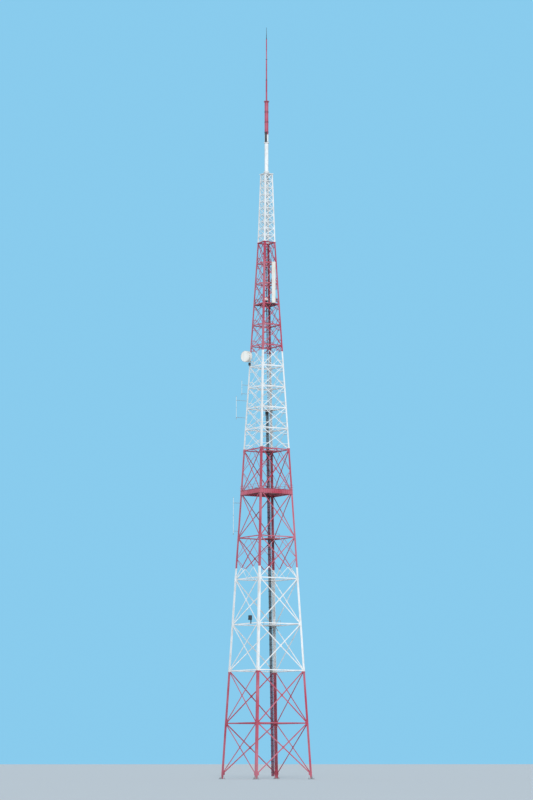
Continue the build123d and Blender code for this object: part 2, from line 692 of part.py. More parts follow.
def boxes():
    """Boxes on the south side, under the rest platform and the dish, and at the foot of the main antenna."""
    width, depth, height = BOX_SIZE
    y = TOWER.along(BOX_Z)
    face = TOWER.plane(LOWER_LEG_WALL / TOWER.slope)
    on_side = rect(BOX_X - width / 2, y - height / 2, BOX_X + width / 2, y + height / 2)
    plate_foot = TOWER.along(LOWER_LEVELS[1]) - HORIZONTAL / 2
    plate = rect(BOX_X - width / 4, plate_foot, BOX_X + width / 4, y)
    lower = extrude(face * on_side, amount=depth) + extrude(face * plate, amount=BOX_PLATE)
    z = deck_underside(UPPER_LEVELS[UPPER_DECK_PANELS])
    north = TOWER.side(z) / 2 - FEEDER_INSET - FEEDER_RADIUS - FEEDER_SPACING / 4
    hung = (Align.MIN, Align.MAX, Align.MAX)
    upper = Pos(-TOWER.inner(z) + SEAT, north, z) * Box(*LADDER_BOX_SIZE, align=hung)
    top = DISH_Z - DISH_RADIUS - DISH_UNIT_GAP
    across, out, tall = DISH_UNIT_SIZE
    west, y = UPPER_LEG - TOWER.side(top) / 2 - across / 2, TOWER.along(top)
    dish_unit = extrude(TOWER.plane() * rect(west, y - tall, west + across, y), amount=out)
    foot = NECK_TOP_Z + NECK_CAP_WALL + SOCKET_HEIGHT + FLANGE_WALL + POLE_LENGTH + FLANGE_WALL
    feed = Pos(0, -ANTENNA_RADIUS - SEAT, foot) * Box(*FEED_BOX_SIZE, align=(Align.CENTER, Align.MAX, Align.MIN))
    feed = Rot(0, 0, FEED_BOX_HEADING) * feed
    write("equipment_boxes", lower, upper, dish_unit, feed)


def main():
    os.makedirs("parts", exist_ok=True)
    feet()
    tower()
    plan_bracing()
    gallery()
    platforms()
    beacon()
    access()
    neck()
    stack()
    dish()
    panel()
    whips()
    boxes()


main()
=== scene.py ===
import math

import bpy
from mathutils import Matrix, Vector


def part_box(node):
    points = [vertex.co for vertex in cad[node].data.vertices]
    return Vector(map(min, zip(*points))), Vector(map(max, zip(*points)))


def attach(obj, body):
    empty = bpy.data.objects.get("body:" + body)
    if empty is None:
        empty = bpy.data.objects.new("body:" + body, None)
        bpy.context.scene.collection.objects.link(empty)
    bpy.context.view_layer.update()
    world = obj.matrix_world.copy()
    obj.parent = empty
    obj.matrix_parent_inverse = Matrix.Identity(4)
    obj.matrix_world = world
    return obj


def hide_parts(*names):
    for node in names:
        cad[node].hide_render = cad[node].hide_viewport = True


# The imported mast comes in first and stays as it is. Everything is in metres in its frame: the
# south-west foot is on the origin, +Z is up, and the four sides lean in to one upright axis.
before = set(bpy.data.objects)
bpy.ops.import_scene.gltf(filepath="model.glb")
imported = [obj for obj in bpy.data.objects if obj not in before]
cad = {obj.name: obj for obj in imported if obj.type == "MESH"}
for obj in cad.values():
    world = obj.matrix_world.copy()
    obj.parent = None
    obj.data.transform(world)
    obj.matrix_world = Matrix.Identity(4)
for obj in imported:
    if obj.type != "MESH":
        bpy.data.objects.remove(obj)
bpy.ops.object.select_all(action="DESELECT")
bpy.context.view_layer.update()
feet_low, feet_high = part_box("foot_plates")
AXIS = Vector(((feet_low[0] + feet_high[0]) / 2, (feet_low[1] + feet_high[1]) / 2, 0))

# Camera: it stands south-east of the mast, near the ground, and looks up along it, so that the
# south-east leg is the nearest and comes left of the middle, as in the photograph.
VIEW_AZIMUTH, VIEW_DISTANCE, EYE_HEIGHT = math.radians(58), 58.0, 0.35
LOOK_UP, HALF_FIELD = math.radians(8.05), math.radians(8.85)
to_eye = Vector((math.sin(VIEW_AZIMUTH), -math.cos(VIEW_AZIMUTH), 0))
look = -to_eye * math.cos(LOOK_UP) + Vector((0, 0, math.sin(LOOK_UP)))
bpy.ops.object.camera_add(
    location=AXIS + to_eye * VIEW_DISTANCE + Vector((0, 0, EYE_HEIGHT)),
    rotation=look.to_track_quat("-Z", "Y").to_euler(),
)
camera = bpy.context.object
camera.data.sensor_width = 36
camera.data.lens = camera.data.sensor_width / 2 / math.tan(HALF_FIELD)
camera.data.clip_end = 1500
bpy.context.scene.camera = camera
bpy.context.scene.view_settings.view_transform = "Standard"


# Light: one soft lamp behind the camera, a little above it, from where the light falls in the
# photograph, and an even world. Camera, mirror and glass rays see a plain pale blue backdrop.
def feed(tree, sockets, values):
    """Sets sockets, by name or number, to a value or a link."""
    for socket, value in values.items():
        if isinstance(value, bpy.types.NodeSocket):
            tree.links.new(value, sockets[socket])
        else:
            sockets[socket].default_value = value


def put(tree, kind, values, **settings):
    """Adds a shader node."""
    made = tree.nodes.new("ShaderNode" + kind)
    for key, value in settings.items():
        setattr(made, key, value)
    feed(tree, made.inputs, values)
    return made


def calc(tree, operation, first, second):
    return put(tree, "Math", {0: first, 1: second}, operation=operation).outputs[0]


LAMP_STRENGTH, LAMP_SPREAD, LAMP_RISE, WORLD_STRENGTH = 1.95, 0.2, 0.50, 0.72
lamp_from = to_eye * 0.86 + Vector((0, 0, LAMP_RISE))
bpy.ops.object.light_add(type="SUN", rotation=lamp_from.to_track_quat("Z", "Y").to_euler())
lamp = bpy.context.object.data
lamp.energy, lamp.angle, lamp.color = LAMP_STRENGTH, LAMP_SPREAD, (1.0, 0.985, 0.965)
world = bpy.data.worlds.new("even_light")
world.use_nodes = True
bpy.context.scene.world = world
sky = world.node_tree
sky_light = sky.nodes["Background"]
feed(sky, sky_light.inputs, {"Color": (0.88, 0.94, 1.0, 1), "Strength": WORLD_STRENGTH})
backdrop = put(sky, "Background", {"Color": (0.25, 0.60, 0.85, 1)})
rays = put(sky, "LightPath", {}).outputs
through_glass = calc(sky, "MAXIMUM", rays["Is Glossy Ray"], rays["Is Transmission Ray"])
seen = calc(sky, "MAXIMUM", rays["Is Camera Ray"], through_glass)
choice = put(sky, "MixShader", {0: seen, 1: sky_light.outputs[0], 2: backdrop.outputs[0]})
sky.links.new(choice.outputs[0], sky.nodes["World Output"].inputs["Surface"])

# Floor: a plain pale studio floor, wide enough to reach the horizon from the low camera. Its
# finish is matt, and it keeps the mast's shadow.
bpy.ops.mesh.primitive_plane_add(size=1600, location=(AXIS.x, AXIS.y, 0))
floor = bpy.context.object
floor.name = "floor"
bpy.ops.object.transform_apply(location=True, rotation=True, scale=True)
floor_finish = bpy.data.materials.new("floor_matt")
floor_finish.use_nodes = True
floor_shader = floor_finish.node_tree.nodes["Principled BSDF"]
floor_shader.inputs["Base Color"].default_value = (0.52, 0.56, 0.59, 1)
floor_shader.inputs["Roughness"].default_value = 0.95
floor.data.materials.append(floor_finish)


# Tower steel: rolled angles and plates, bolted up in four lengths and painted by hand in red and
# white bands. The paint has chalked, runs down below the joints and has worn at the edges.
def between(tree, value, low, high):
    """0 at low, 1 at high and even in between."""
    return put(tree, "MapRange", {0: value, 1: low, 2: high}).outputs[0]


def noise(tree, place, scale, detail=2.0):
    return put(tree, "TexNoise", {"Vector": place, "Scale": scale, "Detail": detail}).outputs[0]


def mixed(tree, share, first, second):
    """The first colour where the share is 0, the second where it is 1."""
    sockets = {0: share}
    for number, colour in ((6, first), (7, second)):
        sockets[number] = colour if isinstance(colour, bpy.types.NodeSocket) else (*colour, 1)
    return put(tree, "Mix", sockets, data_type="RGBA").outputs[2]


def tinted(tree, colour, mask, share, tint):
    """The colour, with a share of a tint over it where the mask is 1."""
    return mixed(tree, calc(tree, "MULTIPLY", mask, share), colour, tint)


def roughened(tree, base, mask, share):
    return calc(tree, "ADD", base, calc(tree, "MULTIPLY", mask, share))


def new_group(name, output, **inputs):
    """A node group that makes one output from a Place and from numbers of the values given."""
    group = bpy.data.node_groups.new(name, "ShaderNodeTree")
    group.interface.new_socket("Place", in_out="INPUT", socket_type="NodeSocketVector")
    for label, value in inputs.items():
        socket = group.interface.new_socket(label, in_out="INPUT", socket_type="NodeSocketFloat")
        socket.default_value = value
    group.interface.new_socket(output, in_out="OUTPUT", socket_type="NodeSocketFloat")
    return group, group.nodes.new("NodeGroupInput").outputs, group.nodes.new("NodeGroupOutput").inputs


def use(tree, group, **values):
    """Places a group in a tree and returns its output."""
    made = tree.nodes.new("ShaderNodeGroup")
    made.node_tree = group
    feed(tree, made.inputs, values)
    return made.outputs[0]


# patches: soft blotches where the paint has chalked or dirt has settled
patches, given, result = new_group("patches", "Mask", Scale=2.0, Low=0.4, High=0.6)
blotch = noise(patches, given["Place"], given["Scale"], 3.0)
patches.links.new(between(patches, blotch, given["Low"], given["High"]), result["Mask"])

# runs: streaks that water draws down the steel, long in z and narrow across
runs, given, result = new_group("runs", "Mask", Across=40.0, Down=3.0, Low=0.5, High=0.7)
split = put(runs, "SeparateXYZ", {0: given["Place"]}).outputs
narrow = put(runs, "CombineXYZ", {
    axis: calc(runs, "MULTIPLY", split[axis], given["Down" if axis == 2 else "Across"]) for axis in range(3)
})
streak = noise(runs, narrow.outputs[0], 1.0)
runs.links.new(between(runs, streak, given["Low"], given["High"]), result["Mask"])

# worn_edges: finds the arrises by comparing the rounded normal with the true one
worn_edges, given, result = new_group("worn_edges", "Mask", Width=0.0016)
soft = put(worn_edges, "Bevel", {"Radius": given["Width"]}, samples=4)
true_normal = put(worn_edges, "NewGeometry", {}).outputs["Normal"]
agree = put(worn_edges, "VectorMath", {0: soft.outputs[0], 1: true_normal}, operation="DOT_PRODUCT")
bare = between(worn_edges, agree.outputs["Value"], 0.995, 0.90)
broken = between(worn_edges, noise(worn_edges, given["Place"], 70.0), 0.46, 0.6)
worn_edges.links.new(calc(worn_edges, "MULTIPLY", bare, broken), result["Mask"])

# paint_bands: 0 in the red bands and 1 in the white ones, by height, with edges cut in by brush
BAND_EDGES, BRUSH_SLIP = (2.39, 4.72, 7.43, 9.66, 12.216, 14.75), 0.012
paint_bands, given, result = new_group("paint_bands", "White")
height = put(paint_bands, "SeparateXYZ", {0: given["Place"]}).outputs[2]
brush = calc(paint_bands, "SUBTRACT", noise(paint_bands, given["Place"], 30.0), 0.5)
wavy = calc(paint_bands, "ADD", height, calc(paint_bands, "MULTIPLY", brush, BRUSH_SLIP))
white = 0.0
for number, edge in enumerate(BAND_EDGES):
    above = calc(paint_bands, "GREATER_THAN", wavy, edge)
    white = calc(paint_bands, "SUBTRACT" if number % 2 else "ADD", white, above)
paint_bands.links.new(white, result["White"])

RED, CHALKED_RED = (0.48, 0.044, 0.092), (0.57, 0.155, 0.215)
WHITE, DULL_WHITE = (0.87, 0.90, 0.91), (0.82, 0.845, 0.85)
GRIME, RUST, PRIMER = (0.17, 0.14, 0.12), (0.24, 0.085, 0.035), (0.46, 0.43, 0.41)


def open_finish(name):
    """A new material, with its node tree, its shader and the Object coordinates."""
    finish = bpy.data.materials.new(name)
    finish.use_nodes = True
    tree = finish.node_tree
    return finish, tree, tree.nodes["Principled BSDF"], tree.nodes.new("ShaderNodeTexCoord").outputs["Object"]


def set_shader(tree, shader, **values):
    feed(tree, shader.inputs, {label.replace("_", " "): value for label, value in values.items()})


def relief(tree, heights, strength, depth):
    return put(tree, "Bump", {"Height": heights, "Strength": strength, "Distance": depth}).outputs["Normal"]


def grain(tree, place, scale, strength, depth, detail=2.0):
    """The relief of a fine even grain."""
    return relief(tree, noise(tree, place, scale, detail), strength, depth)


def dress(node_names, finish):
    """Gives CAD nodes a material in the slots that they came with."""
    for node_name in node_names:
        for slot in cad[node_name].material_slots:
            slot.material = finish


band_paint, tree, shader, place = open_finish("band_paint")
band = use(tree, paint_bands, Place=place)
sound = mixed(tree, band, RED, WHITE)
chalked = mixed(tree, band, CHALKED_RED, DULL_WHITE)
colour = mixed(tree, use(tree, patches, Place=place, Scale=1.3, Low=0.37, High=0.58), sound, chalked)
smudge = use(tree, patches, Place=place, Scale=9.0, Low=0.5, High=0.72)
colour = tinted(tree, colour, smudge, 0.20, GRIME)
wet = use(tree, runs, Place=place, Across=38.0, Down=2.2, Low=0.5, High=0.74)
colour = tinted(tree, colour, wet, 0.24, GRIME)
pits = use(tree, runs, Place=place, Across=120.0, Down=26.0, Low=0.65, High=0.74)
bare_edge = use(tree, worn_edges, Place=place, Width=0.0016)
colour = tinted(tree, colour, bare_edge, 0.7, PRIMER)
colour = tinted(tree, colour, pits, 0.7, RUST)
rough = roughened(tree, 0.48, calc(tree, "ADD", smudge, pits), 0.22)
bump = grain(tree, place, 160.0, 0.35, 0.0012, 3.0)
set_shader(tree, shader, Base_Color=colour, Roughness=rough, Normal=bump)
tower_nodes = [name for name in cad if name.startswith("legs_") or "_side_" in name]
dress(tower_nodes + ["leg_splices", "plan_bracing", "neck_legs", "neck_bracing"], band_paint)

# Bolts of the tower: hexagon heads in rows through the leg flanges, the gusset plates and the
# splice covers. They are put in after the bars and painted over with them.
FOOT_HALF, WAIST_HEIGHT, WAIST_HALF, NECK_TALL, NECK_TOP_HALF = 0.740, 12.2, 0.150, 1.61, 0.106
LEAN = (FOOT_HALF - WAIST_HALF) / WAIST_HEIGHT
NECK_LEAN = (WAIST_HALF - NECK_TOP_HALF) / NECK_TALL
LOWER_FOOT, MIDDLE_FOOT, UPPER_FOOT, UPPER_PITCH = 2.410, 4.470, 7.400, 0.48
UPPER_LEVELS = tuple(UPPER_FOOT + UPPER_PITCH * step for step in range(11))
BASE_LEG, LOWER_LEG, MIDDLE_LEG, UPPER_LEG = 0.054, 0.050, 0.044, 0.038
LENGTHS = (
    # heights of the horizontals, leg width, gusset size, depth of the bars' face, bolt radius
    ((0.120, 1.240, LOWER_FOOT), BASE_LEG, 0.062, 0.0040, 0.0052),
    ((LOWER_FOOT, 3.450, MIDDLE_FOOT), LOWER_LEG, 0.058, 0.0040, 0.0050),
    ((MIDDLE_FOOT, 5.410, 6.430, UPPER_FOOT), MIDDLE_LEG, 0.050, 0.0035, 0.0045),
    (UPPER_LEVELS, UPPER_LEG, 0.036, 0.0030, 0.0036),
)
SIDE_ENDS = [(turn, hand) for turn in range(4) for hand in (-1, 1)]


def lean_at(height):
    return LEAN if height < WAIST_HEIGHT else NECK_LEAN


def half(height):
    """Half the mast's outer width at a height."""
    if height < WAIST_HEIGHT:
        return FOOT_HALF - LEAN * height
    return WAIST_HALF - NECK_LEAN * (height - WAIST_HEIGHT)


def crossed(low, high, leg):
    """Half widths at the foot and head of a crossed panel, and the height where its bars cross."""
    foot, head = half(low) - leg / 2, half(high) - leg / 2
    return foot, head, low + (high - low) * foot / (foot + head)


def turned(degrees, axis="Z"):
    return Matrix.Rotation(math.radians(degrees), 4, axis)


def placed(point, size=1.0):
    return Matrix.Translation(point) @ Matrix.Scale(size, 4)


def on_side(turn, across, height, out=0.0, size=1.0):
    """Place on a side: x runs along it, y up its slope and z straight out of it."""
    lean = lean_at(height)
    slope = math.hypot(1, lean)
    face = Matrix((
        (1, 0, 0, across),
        (0, lean / slope, -1 / slope, -half(height)),
        (0, 1 / slope, lean / slope, height),
        (0, 0, 0, 1),
    ))
    return Matrix.Translation(AXIS) @ turned(90 * turn) @ face @ placed((0, 0, out), size)


def pick(test, kind="FACE"):
    """Opens the piece in hand for editing, with its faces, edges or points that pass selected."""
    bpy.ops.object.mode_set(mode="EDIT")
    bpy.ops.mesh.select_mode(type=kind)
    bpy.ops.mesh.select_all(action="DESELECT")
    bpy.ops.object.mode_set(mode="OBJECT")
    mesh = bpy.context.object.data
    for part in {"FACE": mesh.polygons, "EDGE": mesh.edges, "VERT": mesh.vertices}[kind]:
        part.select = test(part)
    bpy.ops.object.mode_set(mode="EDIT")


def pick_facing(x, y, z):
    """Picks the faces that look along a direction."""
    pick(lambda face: face.normal.dot((x, y, z)) > 0.9)


def put_down():
    """Closes the piece in hand and sets its place into its mesh."""
    bpy.ops.object.mode_set(mode="OBJECT")
    bpy.ops.object.transform_apply(location=True, rotation=True, scale=True)
    return bpy.context.object


def copies(model, places, name):
    """One piece of many copies of a model, each with its own mesh. The model goes away."""
    bpy.ops.object.select_all(action="DESELECT")
    for spot in places:
        one = model.copy()
        one.data = model.data.copy()
        one.matrix_world = spot
        bpy.context.collection.objects.link(one)
        one.select_set(True)
        bpy.context.view_layer.objects.active = one
    bpy.ops.object.join()
    bpy.ops.object.transform_apply(location=True, rotation=True, scale=True)
    bpy.data.objects.remove(model)
    bpy.context.object.name = name
    return bpy.context.object


def hand_in(piece, finish):
    """Finish, slot and body of a finished piece."""
    piece.data.materials.clear()
    piece.data.materials.append(finish)
    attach(piece, "root")
    bpy.ops.object.select_all(action="DESELECT")


def repeat(model, places, name, finish):
    """Hands in copies of a model as one piece."""
    hand_in(copies(model, places, name), finish)


def drum(sides, radius, tall, location=(0, 0, 0), rotation=(0, 0, 0)):
    bpy.ops.mesh.primitive_cylinder_add(
        vertices=sides, radius=radius, depth=tall, location=location, rotation=rotation
    )


def crowned(sides, radius, tall, foot, drawn_in, rise):
    """Drum that stands on a height, its top face drawn in and raised."""
    drum(sides, radius, tall, (0, 0, foot + tall / 2))
    pick_facing(0, 0, 1)
    bpy.ops.mesh.inset(thickness=drawn_in)
    bpy.ops.transform.translate(value=(0, 0, rise))
    return put_down()


def bolt_head():
    """Hexagon head of radius 1 with a chamfered top."""
    return crowned(6, 1, 0.7, 0, 0.2, 0.16)


joint_spots = []
for levels, leg, gusset, depth, radius in LENGTHS:
    for low, high in zip(levels, levels[1:]):
        foot, head, crossing = crossed(low, high, leg)
        run, rise = foot + head, high - low
        length = math.hypot(run, rise)
        covered, reach = leg / 2 * length / run, 0.3 * gusset
        for turn, hand in SIDE_ENDS:
            for across, level, up in ((foot, low, 1), (head, high, -1)):
                for along in (covered + 2.2 * radius, covered + 5.4 * radius):
                    step_in, step_up = along * run / length, along * rise / length
                    spot = on_side(turn, hand * (across - step_in), level + up * step_up, -depth, radius)
                    joint_spots.append(spot)
            for step in (-0.75, 0, 0.75):
                across = half(high) - leg * 0.6
                joint_spots.append(on_side(turn, hand * across, high + step * gusset, 0, radius))
            for up in (-1, 1):
                across, level = reach * run / length, crossing + up * reach * rise / length
                joint_spots.append(on_side(turn, hand * across, level, -depth, radius))
repeat(bolt_head(), joint_spots, "joint_bolts", band_paint)

SPLICES = ((LOWER_FOOT, LOWER_LEG), (MIDDLE_FOOT, MIDDLE_LEG), (UPPER_FOOT, UPPER_LEG))
SPLICE_RISE, SPLICE_COVER, SPLICE_BOLT = 0.012, 0.0025, 0.0044
splice_spots = [
    on_side(turn, hand * (half(level) - leg * share), level + SPLICE_RISE + step, SPLICE_COVER, SPLICE_BOLT)
    for level, leg in SPLICES
    for turn, hand in SIDE_ENDS
    for share in (0.26, 0.72)
    for step in (-0.052, -0.032, -0.012, 0.012, 0.032, 0.052)
]
repeat(bolt_head(), splice_spots, "splice_bolts", band_paint)


# Light bracing: small angles that tie the middles of the sides together at each level of the upper
# length and of the neck, and halve the free lengths of the upper panels. They are bolted on last.
def block(location, size):
    bpy.ops.mesh.primitive_cube_add(size=1, location=location, scale=size)


def open_all(kind="FACE"):
    """Opens the piece in hand for editing, with all of it selected."""
    bpy.ops.object.mode_set(mode="EDIT")
    bpy.ops.mesh.select_mode(type=kind)
    bpy.ops.mesh.select_all(action="SELECT")


def extrude(x, y, z):
    bpy.ops.mesh.extrude_region_move(TRANSFORM_OT_translate={"value": (x, y, z)})


def angle_bar(width, wall):
    """Angle of length 1 along x, its heel on the x axis and its two flanges towards +y and -z."""
    block((0.5, width / 2, -wall / 2), (1, width, wall))
    put_down()
    open_all()
    bpy.ops.mesh.bisect(plane_co=(0, wall, 0), plane_no=(0, 1, 0))
    pick(lambda face: face.normal.z < -0.9 and face.center.y < wall)
    extrude(0, 0, wall - width)
    return put_down()


def bar_from(start, end, up=(0, 0, 1)):
    """Place of a bar of length 1 along x, stretched from start to end."""
    way = Vector(end) - Vector(start)
    length = way.length
    side = Vector(up).cross(way).normalized()
    top = way.normalized().cross(side)
    spot = Matrix((way.normalized(), side, top)).transposed().to_4x4()
    spot.translation = Vector(start)
    return spot @ Matrix.Diagonal((length, 1, 1, 1))


def at(x, y, z):
    """Point given about the mast's axis."""
    return AXIS + Vector((x, y, z))


def ties_at(levels, inset):
    """Places of the four bars that join the middles of the sides at each level."""
    spots = []
    for level in levels:
        reach = half(level) - inset
        middles = [at(0, -reach, level), at(reach, 0, level), at(0, reach, level), at(-reach, 0, level)]
        spots += [bar_from(start, end) for start, end in zip(middles, middles[1:] + middles[:1])]
    return spots


NECK_FOOT, NECK_PITCH = 12.210, 0.160
NECK_LEVELS = tuple(NECK_FOOT + NECK_PITCH * step for step in range(11))
plan_ties = ties_at(UPPER_LEVELS[1:10], 0.021)
repeat(angle_bar(0.011, 0.002), plan_ties, "plan_ties", band_paint)
neck_ties = ties_at(NECK_LEVELS[1:10], 0.006)
repeat(angle_bar(0.009, 0.0016), neck_ties, "neck_ties", band_paint)

KNEE_DEPTH = 0.0062
knee_bars = []
for low, high in zip(UPPER_LEVELS, UPPER_LEVELS[1:]):
    foot, head, crossing = crossed(low, high, UPPER_LEG)
    for turn, hand in SIDE_ENDS:
        outwards = on_side(turn, 0, low).to_3x3() @ Vector((0, 0, 1))
        for across, level in ((foot, low), (head, high)):
            knee_height = (level + crossing) / 2
            leg_reach = half(knee_height) - UPPER_LEG / 2
            points = (across / 2, knee_height), (leg_reach, knee_height), (0, level)
            knee, on_leg, centre = (
                on_side(turn, hand * reach, height, -KNEE_DEPTH).translation for reach, height in points
            )
            knee_bars += [bar_from(knee, on_leg, outwards), bar_from(centre, knee, outwards)]
repeat(angle_bar(0.008, 0.0014), knee_bars, "knee_bars", band_paint)

# Feet: thick plates on the ground, each held down by four anchor bolts with a washer and two
# nuts. Plates and bolts are hot-dip galvanised and stained by rain and soil.
zinc, tree, shader, place = open_finish("zinc_coat")
spangle = put(tree, "TexVoronoi", {"Vector": place, "Scale": 90.0}).outputs["Color"]
spangle = put(tree, "SeparateColor", {0: spangle}).outputs[0]
dull = use(tree, patches, Place=place, Scale=7.0, Low=0.38, High=0.66)
colour = mixed(tree, spangle, (0.36, 0.37, 0.38), (0.47, 0.48, 0.49))
colour = tinted(tree, colour, dull, 0.6, (0.30, 0.30, 0.29))
stain = use(tree, runs, Place=place, Across=45.0, Down=6.0, Low=0.56, High=0.7)
colour = tinted(tree, colour, stain, 0.45, RUST)
rough, bump = roughened(tree, 0.46, dull, 0.24), grain(tree, place, 240.0, 0.25, 0.0008)
set_shader(tree, shader, Base_Color=colour, Metallic=0.45, Roughness=rough, Normal=bump)
dress(["foot_plates", "dish_mount", "whip_arms"], zinc)


def joined(pieces_to_join, name):
    bpy.ops.object.select_all(action="DESELECT")
    for one in pieces_to_join:
        one.select_set(True)
    bpy.context.view_layer.objects.active = pieces_to_join[0]
    bpy.ops.object.join()
    bpy.context.object.name = name
    return bpy.context.object


WASHER_AND_NUTS = (12, 0.0125, 0.002, 0), (6, 0.0085, 0.007, 0.002), (6, 0.0085, 0.006, 0.009)
anchor = [crowned(12, 0.0042, 0.036, 0, 0.001, 0.001)]
for sides, radius, thick, foot in WASHER_AND_NUTS:
    anchor.append(crowned(sides, radius, thick, foot, 0.0012, 0.0006))
PLATE_THICK, ANCHOR_HALF, FOOT_OUT = 0.010, 0.040, 0.725
anchor_spots = [
    placed(at(x * FOOT_OUT + i, y * FOOT_OUT + j, PLATE_THICK))
    for x in (-1, 1) for y in (-1, 1)
    for i in (-ANCHOR_HALF, ANCHOR_HALF) for j in (-ANCHOR_HALF, ANCHOR_HALF)
]
repeat(joined(anchor, "anchor"), anchor_spots, "anchor_bolts", zinc)

# Ladder: two flat stiles with round rungs a real 300 mm apart, beside the north-west leg, in a
# safety cage of flat hoops and straps between the platforms. It was painted with the tower, but its bands are
# darker than the tower's, as painted shade.
ladder_paint_shaded, tree, shader, place = open_finish("ladder_paint_shaded")
# the band colours are darker than the tower's own paint: painted shade, as the ladder stands inside the tower
colour = mixed(tree, use(tree, paint_bands, Place=place), (0.27, 0.034, 0.058), (0.60, 0.61, 0.61))
rubbed = use(tree, patches, Place=place, Scale=22.0, Low=0.46, High=0.62)
colour = tinted(tree, colour, rubbed, 0.5, (0.22, 0.21, 0.21))
spots = use(tree, runs, Place=place, Across=90.0, Down=30.0, Low=0.6, High=0.7)
colour = tinted(tree, colour, spots, 0.45, RUST)
rough, bump = roughened(tree, 0.50, rubbed, 0.25), grain(tree, place, 200.0, 0.3, 0.0008)
set_shader(tree, shader, Base_Color=colour, Metallic=0.1, Roughness=rough, Normal=bump)
dress(["ladder"], ladder_paint_shaded)

LADDER_FROM_LEG, LADDER_HALF, RUNG_PITCH = 0.060, 0.020, 0.030
STILE_BACK, STILE_DEEP = 0.0190 * math.hypot(1, LEAN), 0.007
GALLERY, BEACON_DECK = 6.430, 10.760
REST_DECKS = ((3.450, 0.300), (5.410, 0.300), (7.400, 0.300), (8.360, 0.210))
DECK_HEIGHTS = tuple(sorted([level for level, size in REST_DECKS] + [GALLERY, BEACON_DECK]))
LYING = (math.radians(90), 0, 0)


def ladder_point(height, out=0.0, along=0.0):
    """Point at the middle of the ladder, out into the tower and along towards the leg."""
    x = -half(height) + STILE_BACK + STILE_DEEP / 2 + out
    return at(x, half(height) - LADDER_FROM_LEG + along, height)


def finish_with(kind, **settings):
    """Adds a modifier to the piece in hand and applies it."""
    made = bpy.context.object.modifiers.new(kind, kind)
    for key, value in settings.items():
        setattr(made, key, value)
    bpy.ops.object.modifier_apply(modifier=made.name)


def array_up(pitch, count, lean):
    """Repeats the piece in hand up the mast, parallel to the north-west leg."""
    finish_with("ARRAY", use_relative_offset=False, use_constant_offset=True, count=count,
                constant_offset_displace=(lean * pitch, -lean * pitch, pitch))


def round_bar(sides, radius, long, location, drawn_in, rotation=(0, 0, 0), swell=1.0):
    """Round bar with its end faces drawn in, and raised a little by a swell."""
    drum(sides, radius, long, location, rotation)
    pick(lambda face: abs(face.normal.z) > 0.9)
    bpy.ops.mesh.inset(thickness=drawn_in)
    bpy.ops.transform.resize(value=(1, 1, swell))
    return put_down()


rungs = []
for low, high in ((0.09, 12.18), (12.23, 13.68)):
    rungs.append(round_bar(6, 0.0013, 2 * LADDER_HALF, ladder_point(low), 0.0004, LYING))
    array_up(RUNG_PITCH, int((high - low) / RUNG_PITCH) + 1, lean_at(low))
hand_in(joined(rungs, "ladder_rungs"), ladder_paint_shaded)


def hoop(sides, radius, tall, location):
    """Flat hoop of no thickness round z, open for editing and all selected."""
    bpy.ops.mesh.primitive_circle_add(vertices=sides, radius=radius, location=location)
    open_all("EDGE")
    extrude(0, 0, tall)
    bpy.ops.mesh.select_all(action="SELECT")


HOOP_PITCH, HOOP_RADIUS, HOOP_HIGH, HOOP_THICK, HOOP_OUT = 0.090, 0.036, 0.005, 0.0015, 0.022
CAGE_FOOT, CAGE_TOP, OVER_DECK, UNDER_DECK = 0.28, 12.19, 0.22, 0.012
cage = []
for low, high in zip((CAGE_FOOT,) + tuple(z + OVER_DECK for z in DECK_HEIGHTS), DECK_HEIGHTS + (CAGE_TOP,)):
    hoop_count = int((high - UNDER_DECK - low) / HOOP_PITCH) + 1
    hoop(20, HOOP_RADIUS, HOOP_HIGH, ladder_point(low, HOOP_OUT))
    open_side = bpy.context.object.location.x - 0.020
    bpy.ops.mesh.bisect(plane_co=(open_side, 0, 0), plane_no=(-1, 0, 0), clear_outer=True)
    cage.append(put_down())
    finish_with("SOLIDIFY", thickness=HOOP_THICK)
    array_up(HOOP_PITCH, hoop_count, LEAN)
    rise = HOOP_PITCH * (hoop_count - 1) + HOOP_HIGH
    for angle in (-80, -40, 0, 40, 80):
        turn = math.radians(angle)
        foot = ladder_point(low, HOOP_OUT + math.cos(turn) * HOOP_RADIUS, math.sin(turn) * HOOP_RADIUS)
        bpy.ops.mesh.primitive_plane_add(size=0.004, location=foot)
        open_all()
        extrude(LEAN * rise, -LEAN * rise, rise)
        bpy.ops.mesh.select_all(action="SELECT")
        bpy.ops.mesh.normals_make_consistent(inside=False)
        cage.append(put_down())
hand_in(joined(cage, "ladder_cage"), ladder_paint_shaded)

# Feeders: corrugated copper tubes in a thick black jacket, four beside the ladder up to the box and
# one of them, in a newer grey jacket, on to the neck. Hangers clamp them, a real 1.2 m apart.
BOX_FOOT = 8.27
jacket, tree, shader, place = open_finish("cable_jacket")
band = use(tree, paint_bands, Place=place)
dusty = mixed(tree, band, (0.250, 0.038, 0.078), (0.170, 0.180, 0.190))
worn = use(tree, runs, Place=place, Across=70.0, Down=4.0, Low=0.4, High=0.68)
colour = mixed(tree, worn, mixed(tree, band, (0.120, 0.024, 0.050), (0.060, 0.064, 0.070)), dusty)
past_box = calc(tree, "GREATER_THAN", put(tree, "SeparateXYZ", {0: place}).outputs[2], BOX_FOOT)
newer_red = mixed(tree, worn, (0.26, 0.075, 0.100), dusty)
newer = mixed(tree, band, newer_red, mixed(tree, worn, (0.62, 0.63, 0.64), (0.48, 0.48, 0.47)))
colour = mixed(tree, past_box, colour, newer)
rings = put(tree, "TexWave", {"Vector": place, "Scale": 60.0}, bands_direction="Z").outputs[1]
rough, bump = roughened(tree, 0.45, worn, 0.3), relief(tree, rings, 0.3, 0.0010)
set_shader(tree, shader, Base_Color=colour, Roughness=rough, Normal=bump, Specular_IOR_Level=0.3)
dress(["feeder_lines"], jacket)

